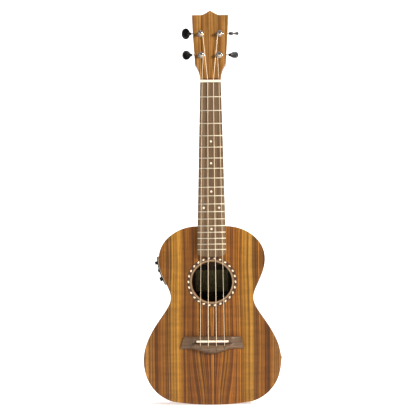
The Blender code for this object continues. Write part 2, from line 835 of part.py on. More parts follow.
def bridge_prism(name, material, margin, low, high):
    """An upright prism over the bridge's plan, between two heights."""
    outline = bridge_outline(margin)
    rings = [in_plane(outline, lambda z, h=h: front_y(h)) for h in (low, high)]
    return loft(name, rings, material, smooth=40)


def make_bridge(wood):
    """The bridge: winged base, raised saddle block and slotted tie block."""
    bridge = bridge_prism("bridge", wood, 0.0, GAP, BRIDGE_WING_T)
    block_h = BRIDGE_BLOCK_H
    tie_h = TIE_BLOCK_H
    ledge_h = TIE_SLOT_FLOOR
    inside = BRIDGE_WING_T / 2
    profile = [
        (0.0064, inside),
        (0.0064, block_h - 0.0016),
        (0.0050, block_h),
        (-0.0042, block_h),
        (-0.0050, ledge_h),
        (-0.0062, ledge_h),
        (-0.0072, tie_h - 0.0006),
        (-0.0084, tie_h),
        (-0.0142, tie_h),
        (-0.0178, tie_h - 0.0018),
        (-BRIDGE_BELLY, BRIDGE_WING_T + 0.0002),
        (-BRIDGE_BELLY, inside),
    ]
    rings = []
    for x in (-BRIDGE_BLOCK_HALF, BRIDGE_BLOCK_HALF):
        rings.append([Vector((x, front_y(h), SADDLE_Z + dz)) for dz, h in profile])
    block = loft("bridge_block_part", rings, None)
    boolean(block, bridge_prism("bridge_plan_cutter", None, 0.0004, -0.001, 0.02), "INTERSECT")
    boolean(bridge, block, "UNION")
    slot_half = SADDLE_T / 2 + GAP
    length = SADDLE_LENGTH / 2 + GAP
    cuts = [
        (
            (-length, front_y(0.02), SADDLE_Z - slot_half),
            (length, front_y(2 * GAP + BRIDGE_WING_T / 2), SADDLE_Z + slot_half),
        )
    ]
    for name in STRING_NAMES:
        x = string_x(name, SADDLE_Z)
        z = SADDLE_Z - TIE_LENGTH[name] - 0.002
        cuts.append(
            (
                (x - TIE_SLOT_HALF, front_y(0.02), z),
                (x + TIE_SLOT_HALF, front_y(TIE_SLOT_FLOOR), SADDLE_Z - 0.0055),
            )
        )
    boolean(bridge, boxes("bridge_slot_cutter", cuts), "DIFFERENCE")


def make_saddle(bone):
    """The saddle blade, crowned under the strings."""
    foot = 3 * GAP + BRIDGE_WING_T / 2
    half_t = SADDLE_T / 2
    shoulder = SADDLE_TOP - SADDLE_ROUND
    profile = [
        (half_t, foot),
        (half_t, shoulder),
        (0.4 * half_t, SADDLE_TOP - SHOULDER_STEP),
        (-0.4 * half_t, SADDLE_TOP - SHOULDER_STEP),
        (-half_t, shoulder),
        (-half_t, foot),
    ]
    rings = []
    for share in (-1, -0.93, 0.93, 1):
        x = share * SADDLE_LENGTH / 2
        drop = SADDLE_END_DROP if abs(share) == 1 else 0
        ring = []
        for dz, height in profile:
            lowered = height - drop if height > foot else height
            ring.append(Vector((x, front_y(lowered), SADDLE_Z + dz)))
        rings.append(ring)
    loft("saddle", rings, bone)


def string_route(name):
    """A string's centre line: tie slot, saddle, nut, then turns round its post."""
    radius = STRING_RADIUS[name]
    post_x, post_s = STRING_POST[name]
    sign = -1 if STRING_ORDER[name] < 0 else 1
    frame = headstock_matrix()
    tie_x = string_x(name, SADDLE_Z)
    nut_x = string_x(name, NUT_Z)
    seat = TIE_SLOT_FLOOR + radius + GAP
    points = [
        Vector((tie_x, front_y(seat), SADDLE_Z - TIE_LENGTH[name])),
        Vector((tie_x, front_y(seat + 0.0002), SADDLE_Z - 0.0088)),
        Vector((tie_x, front_y(STRING_AT_SADDLE - 0.0007), SADDLE_Z - 0.0016)),
        Vector((tie_x, front_y(STRING_AT_SADDLE), SADDLE_Z - 0.0003)),
        Vector((nut_x, front_y(STRING_AT_NUT), NUT_Z + 0.0003)),
        Vector((nut_x, front_y(STRING_AT_NUT - 0.0002), NUT_Z + NUT_T - 0.0008)),
    ]
    coil = POST_WAIST_RADIUS + STRING_GAP + radius
    first = VENEER_FACE + POST_WAIST_FROM + radius + GAP
    steps = 11
    for i in range(round(STRING_TURNS * steps) + 1):
        angle = 2 * math.pi * i / steps
        depth = -(first + STRING_PITCH * i / steps)
        x = sign * (post_x - coil * math.cos(angle))
        s = post_s + coil * math.sin(angle)
        points.append(frame @ Vector((x, depth, s)))
    return points


def make_string(name, nylon):
    """A string as a round curve along its whole route."""
    curve = bpy.data.curves.new(f"string_{name}", "CURVE")
    curve.dimensions = "3D"
    curve.bevel_depth = STRING_RADIUS[name]
    curve.bevel_resolution = 1
    curve.use_fill_caps = True
    curve.resolution_u = 1
    curve.render_resolution_u = 0
    points = string_route(name)
    spline = curve.splines.new("POLY")
    spline.points.add(len(points) - 1)
    for slot, point in zip(spline.points, points):
        slot.co = (*point, 1.0)
    curve.materials.append(nylon)
    obj = bpy.data.objects.new(f"string_{name}", curve)
    bpy.context.scene.collection.objects.link(obj)


# ================================================================ tuners
def gear_ring(depth):
    """A ring with two points for each gear tooth, alternating tip and root."""
    count = 2 * GEAR_TEETH
    ring = circle(1.0, 0, count)
    points = []
    for i, p in enumerate(ring):
        radius = GEAR_RADIUS if i % 2 == 0 else GEAR_ROOT_RADIUS
        points.append(Vector((radius * p.x, radius * p.y, depth)))
    return points


def make_post(name, parent, metal, x, s):
    """A string post with its gear wheel, on the headstock's normal."""
    count = 2 * GEAR_TEETH
    gear_back = -(SHAFT_Y + GEAR_T / 2)
    gear_front = -(SHAFT_Y - GEAR_T / 2)
    waist_from = VENEER_FACE + POST_WAIST_FROM
    waist_to = VENEER_FACE + POST_WAIST_TO
    top = VENEER_FACE + POST_HEIGHT
    rings = [gear_ring(gear_back), gear_ring(gear_front)]
    for radius, height in (
        (POST_RADIUS, gear_front + SHOULDER_STEP),
        (POST_RADIUS, waist_from - POST_STEP),
        (POST_WAIST_RADIUS, waist_from + POST_STEP),
        (POST_WAIST_RADIUS, waist_to - POST_STEP),
        (POST_RADIUS, waist_to + POST_STEP),
        (POST_RADIUS, top - POST_ROUND),
        (POST_RADIUS - POST_ROUND, top),
    ):
        rings.append(circle(radius, height, count))
    post = loft(f"tuner_{name}_post", rings, metal, smooth=35)
    post.parent = parent
    post.rotation_euler.x = math.pi / 2
    post.location = (x, 0, s)


def make_bushing(name, parent, metal, x, s):
    """The flanged bushing that carries the post at the face."""
    bore = POST_RADIUS + GAP
    front = VENEER_FACE + GAP
    profile = [
        (bore, -BARREL_DEPTH),
        (BARREL_RADIUS, -BARREL_DEPTH),
        (BARREL_RADIUS, front),
        (BUSHING_RADIUS, front),
        (BUSHING_RADIUS, front + 0.6 * BUSHING_FLANGE_T),
        (BUSHING_RADIUS - BUSHING_FLANGE_W, front + BUSHING_FLANGE_T),
        (bore, front + BUSHING_FLANGE_T),
    ]
    count = 20
    rings = []
    for i in range(count):
        angle = 2 * math.pi * i / count
        rings.append([Vector((r * math.cos(angle), r * math.sin(angle), h)) for r, h in profile])
    bushing = loft(f"tuner_{name}_bushing", rings, metal, endless=True, smooth=35)
    bushing.parent = parent
    bushing.rotation_euler.x = math.pi / 2
    bushing.location = (x, 0, s)


def make_housing(name, parent, metal, x, s, sign):
    """The sealed gear housing behind the headstock, open to the post and to the key's shaft."""
    front = HEADSTOCK_T + GAP
    top = s + WORM_OFFSET + WORM_RADIUS + GAP + HOUSING_WALL
    xs = sorted((x - sign * HOUSING_MARGIN, x + sign * HOUSING_OUT))
    low = (xs[0], front, s - HOUSING_MARGIN)
    housing = boxes(f"tuner_{name}_housing", [(low, (xs[1], HOUSING_BACK, top))], metal)
    housing.parent = parent
    bevel(housing, HOUSING_ROUND)
    chamber_floor = SHAFT_Y + GEAR_T / 2 + GAP
    chamber_radius = GEAR_RADIUS + 1.6 * GAP
    chamber = turned(
        f"gear_chamber_cutter_{name}",
        [(chamber_radius, -chamber_floor), (chamber_radius, 0)],
        None,
        count=20,
    )
    chamber.parent = parent
    chamber.rotation_euler.x = math.pi / 2
    chamber.location = (x, 0, s)
    boolean(housing, chamber, "DIFFERENCE")
    worm_end = WORM_HALF_LENGTH + GAP
    worm_bore = WORM_RADIUS + 1.2 * GAP
    shaft_bore = SHAFT_RADIUS + GAP
    bore = turned(
        f"worm_bore_cutter_{name}",
        [
            (worm_bore, -worm_end),
            (worm_bore, worm_end),
            (shaft_bore, worm_end),
            (shaft_bore, HOUSING_OUT + 0.003),
        ],
        None,
        count=14,
    )
    bore.parent = parent
    bore.rotation_euler.y = sign * math.pi / 2
    bore.location = (x, SHAFT_Y, s + WORM_OFFSET)
    boolean(housing, bore, "DIFFERENCE")


def make_key(name, parent, dark, x, s, sign):
    """The key: worm, shaft, collar and oval button, turning on the worm's axis."""
    count = 14
    profile = [
        (WORM_RADIUS, -WORM_HALF_LENGTH),
        (WORM_RADIUS, WORM_HALF_LENGTH),
        (SHAFT_RADIUS, WORM_HALF_LENGTH + SHOULDER_STEP),
    ]
    button_start = KEY_REACH - BUTTON_LENGTH
    collar_start = button_start - BUTTON_COLLAR_LENGTH
    profile += [(SHAFT_RADIUS, collar_start), (BUTTON_COLLAR_RADIUS, collar_start + SHOULDER_STEP)]
    rings = [circle(r, h, count) for r, h in profile]
    steps = 7
    for i in range(steps + 1):
        share = 0.04 + 0.92 * (1 - math.cos(math.pi * i / steps)) / 2
        spread = math.sqrt(1 - (2 * share - 1) ** 2)
        half_height = max(BUTTON_HALF_HEIGHT * spread, BUTTON_COLLAR_RADIUS)
        half_t = BUTTON_HALF_T * (0.55 + 0.45 * spread)
        height = button_start + share * BUTTON_LENGTH
        ring = circle(1.0, height, count)
        rings.append([Vector((p.x * half_height, p.y * half_t, p.z)) for p in ring])
    key = loft(f"tuner_{name}_key", rings, dark, smooth=40)
    key.parent = parent
    outward = Matrix.Rotation(sign * math.pi / 2, 4, "Y")
    turn = Matrix.Rotation(math.radians(BUTTON_TURN[name]), 4, "Z")
    key.rotation_mode = "QUATERNION"
    key.rotation_quaternion = (outward @ turn).to_quaternion()
    key.location = (x, SHAFT_Y, s + WORM_OFFSET)


def make_tuners(chrome, dark):
    """Four geared tuners, parented to the headstock's frame."""
    frame = bpy.data.objects.new("headstock_frame", None)
    bpy.context.scene.collection.objects.link(frame)
    frame.location = (0, FACE_Y, HEADSTOCK_Z)
    frame.rotation_euler.x = -HEADSTOCK_TILT
    for name in STRING_NAMES:
        sign = -1 if STRING_ORDER[name] < 0 else 1
        post_x, s = STRING_POST[name]
        x = sign * post_x
        make_housing(name, frame, chrome, x, s, sign)
        make_bushing(name, frame, chrome, x, s)
        make_post(name, frame, chrome, x, s)
        make_key(name, frame, dark, x, s, sign)


# ================================================================ electronics
def side_band(name, material, z_from, z_to, inner, outer, half, corner=0.0, flat_inner=None):
    """A curved block along the bass side: between two offsets from it, or from a flat inner wall."""
    steps = 10
    stations = [z_from + (z_to - z_from) * i / steps for i in range(steps + 1)]
    if corner:
        stations[1:1] = [z_from + corner]
        stations[-1:-1] = [z_to - corner]
    rings = []
    for z in stations:
        x, normal = edge_at(z)
        at_end = z in (z_from, z_to)
        reach = half - corner if at_end else half
        near = Vector((x, z)) + normal * inner
        far = Vector((x, z)) + normal * outer
        if flat_inner is not None:
            near = Vector((flat_inner, z))
            far = Vector((x + outer / normal.x, z))
        y0 = FACE_Y + PREAMP_Y - reach
        y1 = FACE_Y + PREAMP_Y + reach
        ring = [(near, y0), (far, y0), (far, y1), (near, y1)]
        rings.append([Vector((-p.x, y, p.y)) for p, y in ring])
    return loft(name, rings, material, smooth=40)


def control_frame(z):
    """A frame on the panel's face at a height, with local Z pointing out of the body."""
    x, normal = edge_at(z)
    proud = PREAMP_SEAT_GAP + PREAMP_FLANGE_T
    out = Vector((-normal.x, 0, normal.y))
    place = Vector((-x, FACE_Y + PREAMP_Y, z)) + out * proud
    turn = Vector((0, 0, 1)).rotation_difference(out)
    return Matrix.Translation(place) @ turn.to_matrix().to_4x4()


def make_preamp(plastic):
    """The preamp's flange and box in one moulding, with a well for each control."""
    preamp = side_band(
        "preamp_unit",
        plastic,
        PREAMP_FROM_Z,
        PREAMP_TO_Z,
        PREAMP_SEAT_GAP,
        PREAMP_SEAT_GAP + PREAMP_FLANGE_T,
        PREAMP_HALF,
        PREAMP_CORNER,
    )
    box_from = PREAMP_FROM_Z + PREAMP_BOX_MARGIN
    box_to = PREAMP_TO_Z - PREAMP_BOX_MARGIN
    box_half = PREAMP_HALF - PREAMP_BOX_MARGIN / 2
    wall = edge_at(box_from)[0] - PREAMP_BOX_DEPTH
    box = side_band(
        "preamp_box_part",
        None,
        box_from,
        box_to,
        0,
        PREAMP_SEAT_GAP + PREAMP_FLANGE_T / 2,
        box_half,
        flat_inner=wall,
    )
    boolean(preamp, box, "UNION")
    for name, z, radius, depth in (
        ("tone", TONE_KNOB_Z, KNOB_STEM_RADIUS, KNOB_STEM_DEPTH),
        (
            "tune",
            TUNE_BUTTON_Z,
            TUNE_BUTTON_RADIUS,
            TUNE_BUTTON_DEPTH + TUNE_BUTTON_TRAVEL + GAP,
        ),
        ("volume", VOLUME_KNOB_Z, KNOB_STEM_RADIUS, KNOB_STEM_DEPTH),
    ):
        well = turned(
            f"well_cutter_{name}",
            [(radius + GAP, -depth - GAP), (radius + GAP, 0.004)],
            None,
            count=16,
        )
        well.matrix_world = control_frame(z)
        boolean(preamp, well, "DIFFERENCE")


def make_preamp_opening():
    """The cutter for the hole in the bass side that the preamp's box passes through."""
    return side_band(
        "preamp_opening_cutter",
        None,
        PREAMP_FROM_Z + PREAMP_BOX_MARGIN - 2 * GAP,
        PREAMP_TO_Z - PREAMP_BOX_MARGIN + 2 * GAP,
        0,
        0.006,
        PREAMP_HALF - PREAMP_BOX_MARGIN / 2 + 2 * GAP,
        flat_inner=edge_at(PREAMP_FROM_Z + PREAMP_BOX_MARGIN)[0] - 0.012,
    )


def make_controls(plastic):
    """The tone and volume knobs and the tuner's push button."""
    for name, z, radius in (
        ("preamp_tone_knob", TONE_KNOB_Z, TONE_KNOB_RADIUS),
        ("preamp_volume_knob", VOLUME_KNOB_Z, VOLUME_KNOB_RADIUS),
    ):
        knob = turned(
            name,
            [
                (KNOB_STEM_RADIUS, -KNOB_STEM_DEPTH),
                (KNOB_STEM_RADIUS, GAP),
                (radius, 1.5 * GAP),
                (radius, KNOB_HEIGHT - KNOB_ROUND),
                (radius - KNOB_ROUND, KNOB_HEIGHT),
            ],
            plastic,
            count=20,
        )
        knob.matrix_world = control_frame(z)
    button = turned(
        "preamp_tune_button",
        [
            (TUNE_BUTTON_RADIUS, -TUNE_BUTTON_DEPTH),
            (TUNE_BUTTON_RADIUS, TUNE_BUTTON_PROUD - TUNE_BUTTON_ROUND),
            (TUNE_BUTTON_RADIUS - TUNE_BUTTON_ROUND, TUNE_BUTTON_PROUD),
        ],
        plastic,
        count=16,
    )
    button.matrix_world = control_frame(TUNE_BUTTON_Z)


def jack_frame():
    """The output jack's frame on the treble side, with local Z pointing out of the body."""
    x, _ = edge_at(JACK_Z)
    return Matrix.Translation((x, FACE_Y + JACK_Y, JACK_Z)) @ Matrix.Rotation(
        math.pi / 2, 4, "Y"
    )


def make_jack(metal):
    """The output jack: a flange on the side and a blind socket behind it."""
    jack = turned(
        "output_jack",
        [
            (JACK_BORE_RADIUS, -JACK_LENGTH + JACK_FLOOR),
            (JACK_BORE_RADIUS, GAP + JACK_FLANGE_T),
            (JACK_FLANGE_RADIUS, GAP + JACK_FLANGE_T),
            (JACK_FLANGE_RADIUS, GAP),
            (JACK_BARREL_RADIUS, GAP / 2),
            (JACK_BARREL_RADIUS, -JACK_LENGTH),
        ],
        metal,
        count=20,
        smooth=35,
    )
    jack.matrix_world = jack_frame()


def make_jack_opening():
    """The cutter for the jack's hole in the treble side."""
    radius = JACK_BARREL_RADIUS + GAP
    cutter = turned("jack_opening_cutter", [(radius, -0.01), (radius, 0.01)], None, count=20)
    cutter.matrix_world = jack_frame()
    return cutter


# ================================================================ assembly
def build():
    """Makes every piece."""
    clear_scene()
    koa = finish("koa", (0.42, 0.20, 0.07), 0.35)
    mahogany = finish("mahogany", (0.30, 0.14, 0.06), 0.45)
    spruce = finish("spruce", (0.60, 0.45, 0.27), 0.6)
    walnut = finish("walnut", (0.16, 0.11, 0.07), 0.5)
    bone = finish("bone", (0.85, 0.80, 0.70), 0.35)
    fret_wire = finish("fret_wire", (0.75, 0.73, 0.68), 0.25, 1.0)
    nylon = finish("nylon", (0.80, 0.75, 0.65), 0.3)
    chrome = finish("chrome", (0.75, 0.75, 0.76), 0.15, 1.0)
    black = finish("black_plastic", (0.02, 0.02, 0.02), 0.35)

    make_plates(koa)
    bass_side = make_side("side_bass", -1, koa)
    boolean(bass_side, make_preamp_opening(), "DIFFERENCE")
    treble_side = make_side("side_treble", 1, koa)
    boolean(treble_side, make_jack_opening(), "DIFFERENCE")
    make_lining("lining_front", mahogany, at_back=False)
    make_lining("lining_back", mahogany, at_back=True)
    make_blocks(mahogany)
    make_soundboard_bracing(spruce)
    make_back_bracing(spruce)
    make_bridge_plate(mahogany)
    make_neck(mahogany, koa)
    make_fingerboard(walnut)
    make_frets(fret_wire)
    make_nut(bone)
    make_bridge(walnut)
    make_saddle(bone)
    for name in STRING_NAMES:
        make_string(name, nylon)
    make_tuners(chrome, black)
    make_preamp(black)
    make_controls(black)
    make_jack(chrome)


build()
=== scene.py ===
"""Looks of an electro-acoustic tenor ukulele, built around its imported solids.

The instrument stands on its tail. +Z runs to the headstock, -Y is the front, where the strings
are, and +X is the treble side. Lengths are in metres, or in millimetres where a name says mm.
"Height" means the distance in front of the soundboard.
"""

import json
import logging
import math
from dataclasses import dataclass
from enum import Enum
from typing import Optional, Sequence, Union

import bmesh
import bpy
from mathutils import Matrix, Vector


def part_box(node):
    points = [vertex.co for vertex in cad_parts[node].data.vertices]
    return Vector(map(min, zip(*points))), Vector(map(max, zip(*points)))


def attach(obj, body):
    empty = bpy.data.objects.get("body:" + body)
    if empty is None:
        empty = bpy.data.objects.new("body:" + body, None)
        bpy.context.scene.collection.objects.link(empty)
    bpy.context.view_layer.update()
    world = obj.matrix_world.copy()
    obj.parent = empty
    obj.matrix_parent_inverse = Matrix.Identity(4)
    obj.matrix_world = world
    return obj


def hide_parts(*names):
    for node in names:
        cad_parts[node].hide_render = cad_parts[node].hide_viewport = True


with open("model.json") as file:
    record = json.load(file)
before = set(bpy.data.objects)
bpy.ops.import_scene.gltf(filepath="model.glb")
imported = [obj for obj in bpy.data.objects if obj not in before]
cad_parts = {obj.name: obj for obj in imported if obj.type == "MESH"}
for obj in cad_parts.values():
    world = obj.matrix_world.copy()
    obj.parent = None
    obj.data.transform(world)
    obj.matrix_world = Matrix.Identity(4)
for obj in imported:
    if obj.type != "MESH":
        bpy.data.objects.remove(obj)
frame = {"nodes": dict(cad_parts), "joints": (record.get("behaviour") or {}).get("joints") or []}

log = logging.getLogger("ukulele")

MM = 0.001
GAP = 0.3 * MM
CUT = 10 * MM
FINE_CREASE = 30.0
TURNED_CREASE = 34.0
SOFT_CREASE = 50.0
INSTRUMENT = "instrument"
Tree = bpy.types.NodeTree
Socket = bpy.types.NodeSocket
Mesh = bmesh.types.BMesh
Feed = Union[Socket, float, tuple]
Ring = list[Vector]
Outline = list[Vector]


# ================================================================ colours and nodes
def to_linear(code: str) -> tuple[float, float, float, float]:
    """Turns an sRGB hex colour into linear RGBA.

    Args:
        code: the colour as "rrggbb".

    Returns:
        The linear red, green, blue and an alpha of 1.
    """
    channels = []
    for i in (0, 2, 4):
        value = int(code[i : i + 2], 16) / 255
        channels.append(value / 12.92 if value <= 0.04045 else ((value + 0.055) / 1.055) ** 2.4)
    return (*channels, 1.0)


def grey(value: float) -> tuple[float, float, float, float]:
    """A linear grey."""
    return (value, value, value, 1.0)


def feed(tree: Tree, node: bpy.types.Node, feeds: dict[Union[str, int], Feed]) -> None:
    """Links a node's inputs or sets their values.

    Args:
        tree: the node tree it is in.
        node: the node.
        feeds: what each input takes, a socket to link or a value.
    """
    for key, value in feeds.items():
        if isinstance(value, Socket):
            tree.links.new(value, node.inputs[key])
        else:
            node.inputs[key].default_value = value


def add_node(
    tree: Tree,
    kind: str,
    feeds: Optional[dict[Union[str, int], Feed]] = None,
    stops: Sequence[tuple[float, tuple]] = (),
    **settings: object,
) -> bpy.types.Node:
    """Adds a node with its settings and links.

    Args:
        tree: the node tree it goes in.
        kind: the shader node's type, without its "ShaderNode".
        feeds: what each input takes, a socket to link or a value.
        stops: a colour ramp's places and linear colours, lowest first.
        settings: the node's own properties.

    Returns:
        The new node.
    """
    node = tree.nodes.new("ShaderNode" + kind)
    for name, value in settings.items():
        setattr(node, name, value)
    feed(tree, node, feeds or {})
    for i, (position, colour) in enumerate(stops):
        elements = node.color_ramp.elements
        element = elements[i] if i < 2 else elements.new(position)
        element.position = position
        element.color = colour
    return node


def wired(tree: Tree, kind: str, *feeds: Feed, **settings: object) -> Socket:
    """Adds a node, feeds its first inputs in their order and gives its first output."""
    return add_node(tree, kind, dict(enumerate(feeds)), **settings).outputs[0]


def scaled(tree: Tree, value: Socket, factor: Feed) -> Socket:
    """A vector or a colour times a factor."""
    return add_node(tree, "VectorMath", {0: value, "Scale": factor}, operation="SCALE").outputs[0]


def mixed(tree: Tree, share: Socket, first: Feed, second: Feed) -> Socket:
    """A blend of two colours."""
    feeds = {MIX_FACTOR: share, MIX_A: first, MIX_B: second}
    return add_node(tree, "Mix", feeds, data_type="RGBA").outputs[MIX_RESULT]


def relief(tree: Tree, height: Socket, strength: float, distance: float) -> Socket:
    """A surface normal that follows a height."""
    feeds = {"Height": height, "Strength": strength, "Distance": distance}
    return add_node(tree, "Bump", feeds).outputs[0]


MIX_FACTOR, MIX_A, MIX_B, MIX_RESULT = 0, 6, 7, 2


# ================================================================ finishes
@dataclass(frozen=True)
class Finish:
    """A surface finish: a material that is made once, and the record's slot that it stands for."""

    name: str
    slot: str

    def material(self) -> bpy.types.Material:
        """Gives the finish's material, and makes it at its first use.

        Returns:
            The material.
        """
        made = bpy.data.materials.get(self.name)
        if made is None:
            made = bpy.data.materials.new(self.name)
            made.use_nodes = True
            self.dress(made.node_tree, made.node_tree.nodes["Principled BSDF"])
        return made

    def dress(self, tree: Tree, shader: bpy.types.Node) -> None:
        """Adds the finish's own nodes to its tree and feeds its Principled shader."""
        raise NotImplementedError


class Grain(Enum):
    """How wood grain lies, as the axes that run across it, through it and along it."""

    ALONG_NECK = (0, 1, 2)
    ACROSS_BODY = (2, 1, 0)
    ROUND_RIM = (1, 0, 2)


@dataclass(frozen=True)
class Timber(Finish):
    """A sawn, sanded and finished wood, whose grain is drawn from real widths and lengths."""

    grain: Grain
    zones: tuple[tuple[float, str], ...]
    streak: str = "5a3517"
    streak_share: float = 0.5
    band_mm: tuple[float, float] = (5.0, 260.0)
    band_depth: float = 0.30
    fibre_mm: tuple[float, float] = (0.9, 90.0)
    fibre_depth: float = 0.16
    pore_mm: tuple[float, float] = (0.45, 7.0)
    pore_share: float = 0.45
    curl: float = 0.0
    bookmatched: bool = False
    thin_leaf: bool = False
    wander_mm: float = 5.0
    zone_mm: float = 26.0
    roughness: tuple[float, float] = (0.36, 0.5)
    coat: float = 0.06
    specular: float = 0.26
    relief_mm: float = 0.05
    seed: float = 0.0

    PORE_COLOUR = "2c1a0d"
    HALF_PLATE_MM = 120.0
    TAIL_SPREAD_MM = 95.0
    TAIL_WIDTH_MM = 46.0
    TAIL_PULL = 0.85
    LEAF_STEP_MM = 1.6
    CURL_MM = (34.0, 7.5)
    DRIFT_MM = (70.0, 170.0)
    ZONE_LENGTH_SHARE = 22
    ZONE_SPREAD = 0.07
    NOISE_REACH = (0.36, 0.64)
    STREAK_EDGE = (0.52, 0.62)
    PORE_EDGE = (0.60, 0.70)

    def dress(self, tree: Tree, shader: bpy.types.Node) -> None:
        """Draws the zones, bands, streaks, fibres, pores and curl of the wood.

        Args:
            tree: the material's node tree.
            shader: its Principled shader.
        """
        place = add_node(tree, "TexCoord").outputs["Object"]
        axes = add_node(tree, "SeparateXYZ", {0: scaled(tree, place, 1 / MM)}).outputs
        across, through, along = (axes[i] for i in self.grain.value)
        if self.bookmatched:
            leaf = wired(tree, "Math", across, 0.0, operation="GREATER_THAN")
            feeds = (leaf, self.LEAF_STEP_MM, through)
            through = wired(tree, "Math", *feeds, operation="MULTIPLY_ADD")
            across = self.mirrored(tree, across, along)
        wood = self.wandering(tree, across, through, along)
        stops = [(at, to_linear(code)) for at, code in self.zones]
        colour = wired(tree, "ValToRGB", self.zone(tree, wood), stops=stops)

        bands = self.noise(tree, wood, self.band_mm, 4.0, 1.3)
        colour = self.darkened(tree, colour, bands, 1 - self.band_depth, 1 + self.band_depth / 2)
        fibres = self.noise(tree, wood, self.fibre_mm, 3.0, 4.1)
        colour = self.darkened(tree, colour, fibres, 1 - self.fibre_depth, 1 + self.fibre_depth / 2)
        streaks = self.noise(tree, wood, (self.band_mm[0] * 0.62, self.band_mm[1] * 1.4), 3.0, 7.7)
        shares = self.stepped(tree, streaks, self.STREAK_EDGE, self.streak_share)
        colour = mixed(tree, shares, colour, to_linear(self.streak))
        if self.curl:
            ripples = self.noise(tree, wood, self.CURL_MM, 2.0, 11.0)
            colour = self.darkened(tree, colour, ripples, 1 - self.curl, 1 + self.curl)
        pores = self.noise(tree, wood, self.pore_mm, 1.0, 15.0)
        holes = self.stepped(tree, pores, self.PORE_EDGE, self.pore_share)
        colour = mixed(tree, holes, colour, to_linear(self.PORE_COLOUR))

        sunk = wired(tree, "Math", holes, -1.0, operation="MULTIPLY")
        surface = wired(tree, "Math", fibres, 0.25, sunk, operation="MULTIPLY_ADD")
        feeds = {
            "Base Color": colour,
            "Roughness": wired(tree, "MapRange", fibres, 0.0, 1.0, *self.roughness),
            "Normal": relief(tree, surface, 0.5, self.relief_mm * MM),
            "Coat Weight": self.coat,
            "Coat Roughness": 0.28,
            "Specular IOR Level": self.specular,
        }
        feed(tree, shader, feeds)

    def mirrored(self, tree: Tree, across: Socket, along: Socket) -> Socket:
        """Opens the grain like a book about the centre joint, and draws it in towards the tail.

        Args:
            tree: the material's node tree.
            across: the distance across the plate, in millimetres.
            along: the distance up the plate, in millimetres.

        Returns:
            The distance across the sawn leaf, in millimetres.
        """
        leaf = wired(tree, "Math", across, operation="ABSOLUTE")
        shares = []
        for distance, reach, top in (
            (along, self.TAIL_SPREAD_MM, self.TAIL_PULL),
            (leaf, self.TAIL_WIDTH_MM, 1.0),
        ):
            feeds = (distance, reach, 0.0, 0.0, top)
            shares.append(wired(tree, "MapRange", *feeds, interpolation_type="SMOOTHSTEP"))
        pull = wired(tree, "Math", *shares, 1.0, operation="MULTIPLY_ADD")
        return wired(tree, "Math", leaf, pull, operation="MULTIPLY")

    def wandering(self, tree: Tree, across: Socket, through: Socket, along: Socket) -> Socket:
        """Makes the grain lines drift a little from straight.

        Args:
            tree: the material's node tree.
            across: millimetres across the grain.
            through: millimetres through the wood.
            along: millimetres along the grain.

        Returns:
            The wood's own coordinates in millimetres, as (across, through, along).
        """
        straight = wired(tree, "CombineXYZ", across, through, along)
        drift = self.noise(tree, straight, self.DRIFT_MM, 2.0, 21.0)
        offset = wired(tree, "MapRange", drift, 0.0, 1.0, -self.wander_mm, self.wander_mm)
        lane = wired(tree, "Math", across, offset, operation="ADD")
        return wired(tree, "CombineXYZ", lane, through, along)

    def zone(self, tree: Tree, wood: Socket) -> Socket:
        """Gives the place on the broad colour ramp, from the centre joint or from chance.

        Args:
            tree: the material's node tree.
            wood: the wood's own coordinates in millimetres.

        Returns:
            A factor from 0 to 1.
        """
        size = (self.zone_mm, self.zone_mm * self.ZONE_LENGTH_SHARE)
        patches = self.noise(tree, wood, size, 2.0, 31.0)
        if not self.bookmatched:
            return wired(tree, "MapRange", patches, 0.28, 0.72)
        lane = wired(tree, "SeparateXYZ", wood)
        share = wired(tree, "Math", lane, self.HALF_PLATE_MM, operation="DIVIDE")
        spread = wired(tree, "MapRange", patches, 0.0, 1.0, -self.ZONE_SPREAD, self.ZONE_SPREAD)
        return wired(tree, "Math", share, spread, operation="ADD")

    def noise(
        self, tree: Tree, wood: Socket, size_mm: tuple[float, float], detail: float, chance: float
    ) -> Socket:
        """Draws noise stretched along the grain.

        Args:
            tree: the material's node tree.
            wood: coordinates in millimetres.
            size_mm: the width across the grain and the length along it.
            detail: how many finer layers lie in it.
            chance: which pattern is drawn.

        Returns:
            The noise, about 0.5 in the middle.
        """
        width, length = size_mm
        through = length if self.thin_leaf or self.grain is Grain.ROUND_RIM else width * 1.6
        counts = (1 / width, 1 / through, 1 / length)
        drawn = wired(tree, "VectorMath", wood, counts, operation="MULTIPLY")
        feeds = {"Vector": drawn, "W": chance + self.seed, "Scale": 1.0, "Detail": detail}
        return add_node(tree, "TexNoise", feeds, noise_dimensions="4D").outputs[0]

    def stepped(self, tree: Tree, noise: Socket, edge: tuple[float, float], top: float) -> Socket:
        """A factor that rises from 0 to its top across a noise's soft edge."""
        return wired(tree, "ValToRGB", noise, stops=[(edge[0], grey(0)), (edge[1], grey(top))])

    def darkened(
        self, tree: Tree, colour: Socket, amount: Socket, dark: float, light: float
    ) -> Socket:
        """Multiplies a colour by a brightness that follows a noise."""
        return scaled(tree, colour, wired(tree, "MapRange", amount, *self.NOISE_REACH, dark, light))


